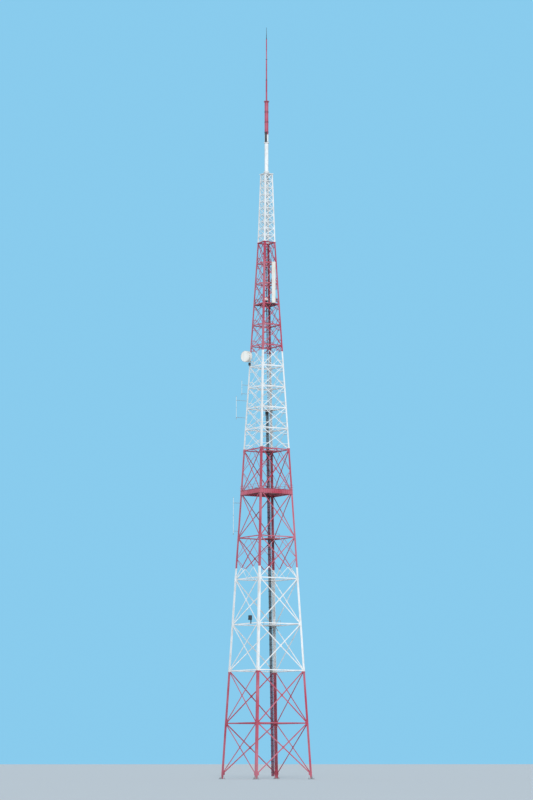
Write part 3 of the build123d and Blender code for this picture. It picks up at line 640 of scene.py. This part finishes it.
dark_steel, tree, shader, place = open_finish("dark_steel")
faded = use(tree, patches, Place=place, Scale=10.0, Low=0.4, High=0.65)
colour = mixed(tree, faded, (0.035, 0.028, 0.032), (0.075, 0.065, 0.068))
chalk = use(tree, runs, Place=place, Across=60.0, Down=10.0, Low=0.55, High=0.7)
colour = tinted(tree, colour, chalk, 0.4, (0.22, 0.19, 0.17))
bare_edge = use(tree, worn_edges, Place=place, Width=0.0014)
colour = tinted(tree, colour, bare_edge, 0.6, (0.32, 0.30, 0.29))
rough, bump = roughened(tree, 0.50, faded, 0.22), grain(tree, place, 220.0, 0.3, 0.0008)
set_shader(tree, shader, Base_Color=colour, Metallic=0.2, Roughness=rough, Normal=bump)
dress(["panel_brackets", "equipment_boxes", "lightning_rod"], dark_steel)

FEEDER_FROM_LEG, FEEDER_PITCH, FEEDER_RADIUS, HANGER_PITCH = 0.100, 0.018, 0.007, 0.120
STEM_DEPTH, HANGER_GAP = 0.019, 0.0002
hangers = []
for low, high, tubes in ((0.15, 8.24, 4), (8.30, 12.18, 1), (12.26, 13.66, 1)):
    middle_x = -half(low) + (STEM_DEPTH + FEEDER_RADIUS + HANGER_GAP)
    spread = FEEDER_PITCH * (tubes - 1)
    middle_y = half(low) - FEEDER_FROM_LEG - spread / 2
    block(at(middle_x, middle_y, low), (0.0165, spread + 2 * FEEDER_RADIUS + 0.006, 0.010))
    pick_facing(1, 0, 0)
    bpy.ops.mesh.inset(thickness=0.002)
    bpy.ops.transform.translate(value=(0.0015, 0, 0))
    hangers.append(put_down())
    array_up(HANGER_PITCH, int((high - low) / HANGER_PITCH) + 1, lean_at(low))
hand_in(joined(hangers, "feeder_hangers"), dark_steel)

# Gallery: a ring of welded channel girders round the legs, with upright stiffeners, a grating
# deck and handrails. Its red paint is fresh on the webs, and the deck below is painted darker, as painted
# shade.
dress(["gallery_girders", "waist_plate", "neck_cap", "pole", "stack_flanges"], band_paint)
BEARERS, CROSS_BARS = (0.006, 0.34), (0.018, 0.20)
DECK_MIDDLE, DECK_REACH = 0.0028, 0.0030
deck_paint_shaded, tree, shader, place = open_finish("deck_grating_shaded")
split = put(tree, "SeparateXYZ", {0: place}).outputs
openings = []
for axis, (pitch, solid_share) in enumerate((BEARERS, CROSS_BARS)):
    phase = calc(tree, "FRACT", calc(tree, "DIVIDE", split[axis], pitch), 0.0)
    openings.append(calc(tree, "GREATER_THAN", phase, solid_share))
on_plate = 0.0
for level in DECK_HEIGHTS:
    sockets = {0: split[2], 1: level + DECK_MIDDLE, 2: DECK_REACH}
    on_plate = calc(tree, "ADD", on_plate, put(tree, "Math", sockets, operation="COMPARE").outputs[0])
# the grating's openings are painted near black: painted shade in the gaps, where a real grating shows what
# lies beyond
holes_painted_shade = calc(tree, "MULTIPLY", calc(tree, "MULTIPLY", *openings), on_plate)
# the bars take the band colours darkened well below the tower's paint: painted shade
bars = mixed(tree, use(tree, paint_bands, Place=place), (0.20, 0.034, 0.052), (0.36, 0.36, 0.36))
worn = use(tree, patches, Place=place, Scale=9.0, Low=0.4, High=0.65)
bars = tinted(tree, bars, worn, 0.5, (0.20, 0.18, 0.17))
colour = tinted(tree, bars, holes_painted_shade, 0.72, (0.035, 0.030, 0.034))
bump = relief(tree, calc(tree, "SUBTRACT", 1.0, holes_painted_shade), 0.6, 0.002)
set_shader(tree, shader, Base_Color=colour, Metallic=0.1, Roughness=0.72, Normal=bump)
dress(["gallery_deck", "rest_platforms", "beacon_platform"], deck_paint_shaded)

GIRDER_TALL, GIRDER_DEEP, GIRDER_WALL, GIRDER_BOLT = 0.104, 0.014, 0.004, 0.0042
gallery_half = half(GALLERY + GIRDER_TALL / 2)
stiffener_spots = [
    on_side(turn, step * gallery_half / 7.2, GALLERY, GIRDER_WALL)
    for turn in range(4) for step in range(-6, 7)
]
block((0, 0, 0.005), (0.003, GIRDER_TALL - 0.010, GIRDER_DEEP - GIRDER_WALL))
pick_facing(0, 0, 1)
bpy.ops.mesh.subdivide(number_cuts=1)
bpy.ops.transform.resize(value=(1, 0.9, 1))
repeat(put_down(), stiffener_spots, "girder_stiffeners", band_paint)
girder_bolts = [
    on_side(turn, hand * (gallery_half - column), GALLERY - 0.036 + 0.018 * row, GIRDER_WALL, GIRDER_BOLT)
    for turn, hand in SIDE_ENDS for row in range(5) for column in (0.016, 0.034)
]
repeat(bolt_head(), girder_bolts, "girder_bolts", band_paint)


# Handrails: round tube posts with a top rail and a knee rail. They run round the outside of the
# gallery, welded to its girders.
def tube_model(radius, sides=6):
    """Tube of length 1 along x, with closed ends."""
    return round_bar(sides, radius, 1, (0.5, 0, 0), radius * 0.3, (0, math.radians(90), 0))


RAIL_RADIUS, RAIL_TALL, RAIL_OUT, POSTS_A_SIDE = 0.0022, 0.110, 0.007, 8
rail_foot, reach = GALLERY + GIRDER_TALL / 2, gallery_half + RAIL_OUT
rail_spots = []
corners = [at(-reach, -reach, 0), at(reach, -reach, 0), at(reach, reach, 0), at(-reach, reach, 0)]
for start, end in zip(corners, corners[1:] + corners[:1]):
    for level in (rail_foot + RAIL_TALL, rail_foot + RAIL_TALL / 2):
        lift = Vector((0, 0, level))
        rail_spots.append(bar_from(start + lift, end + lift))
    for step in range(POSTS_A_SIDE):
        foot = start.lerp(end, step / POSTS_A_SIDE) + Vector((0, 0, rail_foot - 0.004))
        rail_spots.append(bar_from(foot, foot + Vector((0, 0, RAIL_TALL + 0.006)), up=(1, 0, 0)))
repeat(tube_model(RAIL_RADIUS), rail_spots, "gallery_handrail", band_paint)

# Waist and neck: the neck stands on a thick plate at the top of the tower. Knee plates brace its
# corners, and its joints and the cap under the pole are bolted.
KNEE_OUT, KNEE_WIDE, KNEE_TALL, KNEE_WALL = 0.118, 0.036, 0.060, 0.003
knee_spots = [
    on_side(turn, hand * KNEE_OUT, NECK_FOOT, -0.001) @ Matrix.Diagonal((hand, 1, 1, 1))
    for turn, hand in SIDE_ENDS
]
block((0, KNEE_TALL / 2, 0), (KNEE_WIDE, KNEE_TALL, KNEE_WALL))
pick_facing(0, 1, 0)
bpy.ops.transform.resize(value=(0.3, 1, 1))
bpy.ops.transform.translate(value=(0.0115, 0, 0))
copies(put_down(), knee_spots, "waist_knees")
open_all()
bpy.ops.mesh.normals_make_consistent(inside=False)
hand_in(put_down(), band_paint)

NECK_LEG, NECK_BOLT, PLATE_BOLT = 0.034, 0.0030, 0.0042
WAIST_BOLTS, CAP_BOLTS = (NECK_FOOT, 0.140), (13.822, 0.108)
neck_spots = []
for low in NECK_LEVELS[:10]:
    for turn in range(4):
        for hand in (-1, 1):
            for step in (-0.022, 0, 0.022):
                across, level = half(low) - NECK_LEG * 0.5, low + NECK_PITCH + step
                neck_spots.append(on_side(turn, hand * across, level, 0, NECK_BOLT))
        neck_spots.append(on_side(turn, 0, low + NECK_PITCH / 2, -0.003, NECK_BOLT))
for level, reach in (WAIST_BOLTS, CAP_BOLTS):
    for x in (-reach, reach):
        for y in (-reach, reach):
            for i, j in ((1.0, 0.30), (0.30, 1.0), (1.0, 0.92), (0.92, 1.0)):
                neck_spots.append(placed(at(x * i, y * j, level), PLATE_BOLT))
repeat(bolt_head(), neck_spots, "neck_bolts", band_paint)

# Stack of antennas: steel pole, thick antenna in a red plastic shell and a slim spire, joined by
# bolted flanges. Bands clamp the shell's sections, and step bolts climb the pole.
red_shell, tree, shader, place = open_finish("red_shell")
faded = use(tree, patches, Place=place, Scale=3.0, Low=0.4, High=0.65)
shell_red = mixed(tree, faded, (0.44, 0.040, 0.092), (0.53, 0.120, 0.185))
colour = mixed(tree, use(tree, paint_bands, Place=place), shell_red, WHITE)
drip = use(tree, runs, Place=place, Across=50.0, Down=3.0, Low=0.5, High=0.72)
colour = tinted(tree, colour, drip, 0.35, GRIME)
rough, bump = roughened(tree, 0.30, drip, 0.3), grain(tree, place, 120.0, 0.15, 0.0008)
set_shader(tree, shader, Base_Color=colour, Roughness=rough, Normal=bump)
dress(["main_antenna", "upper_antenna"], red_shell)


def away(degrees):
    """Level direction at an angle from east."""
    return Vector((math.cos(math.radians(degrees)), math.sin(math.radians(degrees)), 0))


FLANGE_FEET, FLANGE_THICK, BOLT_CIRCLE, FLANGE_BOLT = (13.862, 14.550, 15.530), 0.018, 0.0535, 0.0045
flange_spots = []
for foot in FLANGE_FEET:
    for step in range(12):
        spot = at(0, 0, foot) + away(30 * step + 15) * BOLT_CIRCLE
        flange_spots.append(placed(spot + Vector((0, 0, FLANGE_THICK)), FLANGE_BOLT))
        flange_spots.append(placed(spot) @ turned(180, "X") @ placed((0, 0, 0), FLANGE_BOLT))
repeat(bolt_head(), flange_spots, "flange_bolts", dark_steel)

POLE_FOOT, POLE_RADIUS, PEG_PITCH, PEG_OUT, PEG_RADIUS = 13.880, 0.044, 0.030, 0.017, 0.0016
peg_spots = []
for step in range(20):
    way = away(135 if step % 2 else 225)
    start = at(0, 0, POLE_FOOT + 0.045 + PEG_PITCH * step) + way * (POLE_RADIUS - 0.002)
    peg_spots.append(bar_from(start, start + way * PEG_OUT))
repeat(tube_model(PEG_RADIUS), peg_spots, "step_pegs", zinc)


def band_ring(radius, height, tall, thick, sides=24):
    """Flat band round the axis, with rounded edges."""
    swell = 1 + 0.5 * thick / tall
    return round_bar(sides, radius + thick, tall, at(0, 0, height), thick * 0.6, swell=swell)


ANTENNA_FOOT, SECTION_LONG, ANTENNA_RADIUS, SECTIONS = 14.568, 0.2405, 0.045, 4
BAND_OFFSET, SEAM_OFFSET, SEAM_RADIUS = 0.012, 0.018, 0.0016
shell_bands, seam_spots = [], []
for number in range(SECTIONS):
    foot = ANTENNA_FOOT + SECTION_LONG * number
    for offset in (BAND_OFFSET, SECTION_LONG - BAND_OFFSET):
        shell_bands.append(band_ring(ANTENNA_RADIUS, foot + offset, 0.006, 0.0012))
    for turn in (30, 120, 210, 300):
        start = at(0, 0, foot + SEAM_OFFSET) + away(turn) * (ANTENNA_RADIUS - 0.0005)
        end = start + Vector((0, 0, SECTION_LONG - 2 * SEAM_OFFSET))
        seam_spots.append(bar_from(start, end, up=away(turn)))
hand_in(joined(shell_bands, "shell_bands"), dark_steel)
repeat(tube_model(SEAM_RADIUS), seam_spots, "shell_seams", red_shell)

SPIRE_STEPS, SPIRE_RADII = (15.548, 16.042, 16.536, 17.030), (0.018, 0.015, 0.012)
collars = []
for foot, top, radius in zip(SPIRE_STEPS, SPIRE_STEPS[1:], SPIRE_RADII):
    collars.append(band_ring(radius, foot + 0.009, 0.018, 0.004, 16))
    collars.append(band_ring(radius, (foot + top) / 2, 0.006, 0.0012, 16))
collars.append(band_ring(0.010, SPIRE_STEPS[-1] + 0.004, 0.012, 0.003, 12))
hand_in(joined(collars, "spire_collars"), dark_steel)

# Platforms: grating decks beside the ladder with toe boards and edge angles, and a full deck under
# the beacon. They are cut to fit between the sides. The decks and edge angles are painted in the bands,
# darkened as painted shade.
DECK_LIFT, TOE_TALL, TOE_WALL, EDGE_WIDE, EDGE_WALL = 0.0048, 0.012, 0.0014, 0.014, 0.002
edges = []
for level, size in REST_DECKS:
    reach = half(level) - 0.0194
    east, south, top = -reach + size, reach - size, level + DECK_LIFT
    for start, end in (((-reach, south), (east, south)), ((east, south), (east, reach))):
        edges.append((at(*start, top), at(*end, top)))
beacon_reach, top = half(BEACON_DECK) - 0.0195, BEACON_DECK + DECK_LIFT
for side in (-beacon_reach, beacon_reach):
    edges.append((at(-beacon_reach, side, top), at(beacon_reach, side, top)))
    edges.append((at(side, -beacon_reach, top), at(side, beacon_reach, top)))
block((0.5, TOE_WALL / 2, TOE_TALL / 2), (1, TOE_WALL, TOE_TALL))
pick_facing(0, 0, 1)
extrude(0, 0.0012, 0.001)
toe_spots = [bar_from(start, end) for start, end in edges]
repeat(put_down(), toe_spots, "toe_boards", band_paint)
drop = Vector((0, 0, -DECK_LIFT + 0.0007))
edge_spots = [bar_from(start + drop, end + drop) for start, end in edges]
repeat(angle_bar(EDGE_WIDE, EDGE_WALL), edge_spots, "deck_edges", ladder_paint_shaded)

# Dish: a pressed bowl with a deep round shroud and a stretched white cover, on a pipe clamped to
# the south-west leg. Ribs stiffen its back, clips hold the cover and a tube steadies it.
radome, tree, shader, place = open_finish("radome")
yellowed = use(tree, patches, Place=place, Scale=5.0, Low=0.36, High=0.7)
colour = mixed(tree, yellowed, (0.86, 0.86, 0.83), (0.78, 0.75, 0.66))
drip = use(tree, runs, Place=place, Across=26.0, Down=2.5, Low=0.5, High=0.74)
colour = tinted(tree, colour, drip, 0.35, (0.42, 0.39, 0.34))
lichen = use(tree, patches, Place=place, Scale=60.0, Low=0.62, High=0.72)
colour = tinted(tree, colour, lichen, 0.3, (0.35, 0.36, 0.28))
rough, bump = roughened(tree, 0.32, drip, 0.3), grain(tree, place, 150.0, 0.15, 0.0006)
set_shader(tree, shader, Base_Color=colour, Roughness=rough, Normal=bump)
dress(["microwave_dish", "panel_antenna", "whip_antennas"], radome)

DISH_HEIGHT, DISH_TURN, DISH_RADIUS, HUB_RADIUS = 9.550, math.radians(20), 0.124, 0.026
SHROUD_BACK, DISH_FRONT, PIPE_TO_DISH = 0.050, 0.155, 0.014
forward = Vector((math.sin(DISH_TURN), -math.cos(DISH_TURN), 0))
upright = Vector((0, 0, 1))
dish_place = Matrix((upright.cross(forward), upright, forward)).transposed().to_4x4()
pipe_place = at(-half(DISH_HEIGHT) + 0.028, -half(DISH_HEIGHT) - 0.022, DISH_HEIGHT)
dish_place.translation = pipe_place + forward * PIPE_TO_DISH

dish_rings = []
for tall, thick, foot in (
    (0.012, 0.0022, SHROUD_BACK - 0.002),
    (0.004, 0.0012, (SHROUD_BACK + DISH_FRONT) / 2),
    (0.009, 0.0026, DISH_FRONT - 0.014),
):
    hoop(48, DISH_RADIUS, tall, (0, 0, foot))
    bpy.ops.mesh.normals_make_consistent(inside=False)
    dish_rings.append(put_down())
    finish_with("SOLIDIFY", thickness=thick, offset=1)
repeat(joined(dish_rings, "rings"), [dish_place], "dish_rings", radome)

block((DISH_RADIUS + 0.003, 0, DISH_FRONT - 0.008), (0.004, 0.007, 0.020))
pick_facing(0, 0, 1)
extrude(-0.005, 0, 0.0015)
clip_spots = [dish_place @ turned(22.5 * step) for step in range(16)]
repeat(put_down(), clip_spots, "cover_clips", zinc)

block(((HUB_RADIUS + DISH_RADIUS) / 2, 0, 0.009), (DISH_RADIUS - HUB_RADIUS, 0.003, 0.016))
pick_facing(1, 0, 0)
bpy.ops.transform.translate(value=(-0.002, 0, 0.031))
extrude(0.001, 0, 0.004)
rib_spots = [dish_place @ turned(45 * step + 22.5) for step in range(8)]
repeat(put_down(), rib_spots, "dish_ribs", radome)

CLAMP_LIFT, STEADY_FOOT, STEADY_RADIUS = 0.080, 9.330, 0.0035
pipe_spots = [placed(pipe_place + Vector((0, 0, lift))) for lift in (-CLAMP_LIFT, CLAMP_LIFT)]
pipe_clamp = round_bar(16, 0.0085, 0.010, (0, 0, 0), 0.0015)
repeat(pipe_clamp, pipe_spots, "pipe_clamps", zinc)
steady_start = dish_place @ Vector((DISH_RADIUS - 0.002, 0, SHROUD_BACK + 0.004))
steady = bar_from(steady_start, on_side(0, -0.060, STEADY_FOOT, -0.001).translation)
repeat(tube_model(STEADY_RADIUS, 8), [steady], "dish_steady", zinc)

# Panel antenna: an upright plastic cover over an aluminium back, with moulded end caps and cable
# sockets below. Two plates with clamps and long bolts hold it off the east side.
PANEL_BACK, PANEL_DEEP, PANEL_WIDE, PANEL_MIDDLE, PANEL_ROUND = 0.2596, 0.062, 0.088, 0.010, 0.0245
PANEL_FOOT, PANEL_TOP, CAP_PROUD = 10.760, 11.710, 0.003
panel_centre = (PANEL_FOOT + PANEL_TOP) / 2
caps = []
for height, tall in ((PANEL_FOOT + 0.010, 0.022), (PANEL_TOP - 0.008, 0.018), (panel_centre, 0.003)):
    middle = at(PANEL_BACK + PANEL_DEEP / 2, PANEL_MIDDLE, height)
    block(middle, (PANEL_DEEP + CAP_PROUD, PANEL_WIDE + CAP_PROUD, tall))
    points = put_down().data.vertices
    pick(lambda edge: abs(points[edge.vertices[0]].co.z - points[edge.vertices[1]].co.z) > tall / 2, "EDGE")
    bpy.ops.mesh.bevel(offset=PANEL_ROUND, segments=6)
    caps.append(put_down())
    finish_with("BEVEL", width=0.0018, segments=2, limit_method="ANGLE")
hand_in(joined(caps, "panel_caps"), radome)

BRACKETS, CLAMP_SIDE, PLATE_SIDE, PANEL_BOLT = (10.760, 11.240), 0.018, 0.020, 0.0038
clamp_spots = [
    placed(at(PANEL_BACK - 0.006, PANEL_MIDDLE + side, level))
    for level in BRACKETS for side in (-CLAMP_SIDE, CLAMP_SIDE)
]
block((0, 0, 0), (0.012, 0.010, 0.040))
pick_facing(-1, 0, 0)
bpy.ops.mesh.inset(thickness=0.0015)
extrude(-0.004, 0, 0)
repeat(put_down(), clamp_spots, "panel_clamps", zinc)
plate_bolts = [
    placed(at(PANEL_BACK - back, PANEL_MIDDLE + side, level + 0.003), PANEL_BOLT)
    for level in BRACKETS for back in (0.020, 0.046) for side in (-PLATE_SIDE, PLATE_SIDE)
]
repeat(bolt_head(), plate_bolts, "panel_bolts", zinc)
socket_spots = [
    placed(at(PANEL_BACK + PANEL_DEEP / 2 + x, PANEL_MIDDLE + y, PANEL_FOOT - 0.008))
    for x in (-0.010, 0.010) for y in (-0.018, 0.018)
]
drum(10, 0.0042, 0.016)
pick_facing(0, 0, -1)
bpy.ops.mesh.inset(thickness=0.0012)
extrude(0, 0, -0.003)
repeat(put_down(), socket_spots, "panel_sockets", dark_steel)

# Whips: thin fibreglass rods in metal sleeves, each U-bolted to two square arms that stick out
# from the south-west leg.
WHIPS = (
    # lower arm, upper arm, leg width, reach past the leg, foot and length of the rod
    (5.560, 6.200, MIDDLE_LEG, 0.110, 5.480, 0.860),
    (8.150, 8.540, UPPER_LEG, 0.238, 8.110, 0.530),
    (8.700, 8.900, UPPER_LEG, 0.134, 8.670, 0.340),
)
WHIP_RADIUS, ARM_SIDE, ARM_BOLT = 0.004, 0.008, 0.0034
sleeves, u_bolts, arm_bolts = [], [], []
for low, high, leg, reach, foot, long in WHIPS:
    x, y = -half(low) - ARM_SIDE - WHIP_RADIUS, -half(low) - reach - WHIP_RADIUS
    for lift, wide, tall in ((0.0, 1, 1), (long * 0.5, 0.82, 0.35), (long - 0.010, 0.86, 0.30)):
        sleeves.append(placed(at(x, y, foot + lift)) @ Matrix.Diagonal((wide, wide, tall, 1)))
    for level in (low, high):
        u_bolts.append(placed(at(x, y, level + ARM_SIDE / 2)))
        for share in (0.25, 0.75):
            # the west side is the fourth one, and the leg's own end of it comes last
            spot = on_side(3, half(level) - leg * share, level, ARM_SIDE)
            arm_bolts.append(spot @ placed((0, ARM_SIDE / 2, 0), ARM_BOLT))
sleeve = round_bar(12, 0.0064, 0.040, (0, 0, 0.020), 0.0015, swell=1.06)
repeat(sleeve, sleeves, "whip_sleeves", zinc)
bpy.ops.mesh.primitive_torus_add(
    major_radius=0.0056, minor_radius=0.0012, major_segments=14, minor_segments=6, location=(0, 0, 0)
)
open_all()
bpy.ops.transform.resize(value=(1, 1.12, 1))
repeat(put_down(), u_bolts, "whip_clamps", zinc)
repeat(bolt_head(), arm_bolts, "arm_bolts", zinc)

# Boxes: folded steel cabinets for switches and filters, with a lipped door, hinges, a latch and a
# drip roof, painted dark. Two hang on the south side, one on the feeders and one on the antenna.
FEEDER_BOX_TOP, ANTENNA_BOX_MIDDLE, ANTENNA_BOX_OUT, UNIT_TOP = 8.3608, 14.683, 0.0752, 9.416
corner = half(FEEDER_BOX_TOP)
BOXES = (
    # place of the door's middle, its width and height
    (on_side(0, 0.255, 3.570, 0.048), 0.076, 0.104),
    (placed(at(0.0592 - corner, corner - 0.1415, FEEDER_BOX_TOP - 0.045)) @ turned(90) @ turned(90, "X"),
     0.060, 0.090),
    (placed(AXIS) @ turned(45) @ placed((0, -ANTENNA_BOX_OUT, ANTENNA_BOX_MIDDLE)) @ turned(90, "X"),
     0.044, 0.230),
    (on_side(0, 0.038 - half(UNIT_TOP), UNIT_TOP - 0.030, 0.034), 0.044, 0.060),
)
doors = []
for spot, wide, tall in BOXES:
    block((0, 0, 0.0012), (wide - 0.006, tall - 0.006, 0.0024))
    pick_facing(0, 0, 1)
    bpy.ops.mesh.inset(thickness=0.003)
    extrude(0, 0, -0.0010)
    bpy.ops.mesh.inset(thickness=0.004)
    extrude(0, 0, 0.0014)
    parts = [put_down()]
    for share in (-0.32, 0.32):
        parts.append(round_bar(8, 0.0018, 0.012, (-wide / 2 + 0.003, tall * share, 0.003), 0.0005, LYING))
    block((wide / 2 - 0.009, 0, 0.004), (0.004, 0.014, 0.004))
    pick_facing(0, 0, 1)
    bpy.ops.transform.resize(value=(0.7, 0.8, 1))
    parts.append(put_down())
    block((0, tall / 2 - 0.001, 0.003), (wide + 0.003, 0.003, 0.009))
    pick_facing(0, 0, 1)
    bpy.ops.transform.translate(value=(0, -0.002, 0))
    parts.append(put_down())
    doors.append(copies(joined(parts, "door"), [spot], "door"))
hand_in(joined(doors, "box_doors"), dark_steel)

# Beacon: a cast lamp on a short stand, with a ribbed glass drum, guard bars and a hood, bolted to
# its deck. The glass is lit, so that it shows white by day.
BEACON_X, BEACON_Y, BEACON_FOOT = 0.138, -0.092, 10.7648
STAND_TALL, BASE_TALL, LENS_TALL, HOOD_TALL = 0.040, 0.016, 0.074, 0.016
STAND_RADIUS, BASE_RADIUS, LENS_RADIUS, GUARD_OUT, GUARD_RADIUS = 0.012, 0.038, 0.033, 0.0366, 0.0009


def beacon_drum(radius, foot, tall, sides=24):
    drum(sides, radius, tall, at(BEACON_X, BEACON_Y, foot + tall / 2))


beacon_drum(STAND_RADIUS, BEACON_FOOT, STAND_TALL, 12)
pick_facing(0, 0, -1)
extrude(0, 0, 0.003)
bpy.ops.transform.resize(value=(2.2, 2.2, 1))
extrude(0, 0, -0.003)
housing = [put_down()]
base_foot = BEACON_FOOT + STAND_TALL
base_middle = at(BEACON_X, BEACON_Y, base_foot + BASE_TALL / 2)
housing.append(round_bar(24, BASE_RADIUS, BASE_TALL, base_middle, 0.002, swell=1.15))
lens_foot = base_foot + BASE_TALL
beacon_drum(BASE_RADIUS, lens_foot + LENS_TALL, HOOD_TALL * 0.3)
pick_facing(0, 0, 1)
extrude(0, 0, HOOD_TALL * 0.4)
bpy.ops.transform.resize(value=(0.72, 0.72, 1))
extrude(0, 0, HOOD_TALL * 0.3)
bpy.ops.transform.resize(value=(0.5, 0.5, 1))
housing.append(put_down())
for step in range(6):
    start = at(BEACON_X, BEACON_Y, lens_foot - 0.002) + away(60 * step + 10) * GUARD_OUT
    guard = bar_from(start, start + Vector((0, 0, LENS_TALL + 0.004)), up=(1, 0, 0))
    housing.append(copies(tube_model(GUARD_RADIUS), [guard], "bar"))
beacon_housing = joined(housing, "beacon_housing")
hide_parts("beacon_light")
hand_in(beacon_housing, dark_steel)

lens_glass, tree, shader, place = open_finish("lens_glass")
rib = put(tree, "TexWave", {"Vector": place, "Scale": 60.0}, bands_direction="Z").outputs[1]
colour = mixed(tree, rib, (0.70, 0.74, 0.74), (0.86, 0.88, 0.87))
glow = mixed(tree, rib, (0.34, 0.38, 0.38), (1.0, 1.0, 0.98))
set_shader(tree, shader, Base_Color=colour, Roughness=0.12, Emission_Color=glow, Emission_Strength=0.7)
LENS_CUTS, RIB_SWELL = 12, 1.05
beacon_drum(LENS_RADIUS, lens_foot, LENS_TALL, 28)
open_all()
for ring in range(1, LENS_CUTS):
    bpy.ops.mesh.select_all(action="SELECT")
    bpy.ops.mesh.bisect(plane_co=at(0, 0, lens_foot + LENS_TALL * ring / LENS_CUTS), plane_no=(0, 0, 1))
pick(lambda point: round((point.co.z / LENS_TALL + 0.5) * LENS_CUTS) % 2 == 1, "VERT")
bpy.ops.transform.resize(value=(RIB_SWELL, RIB_SWELL, 1))
lens = put_down()
lens.name = "beacon_lens"
hand_in(lens, lens_glass)
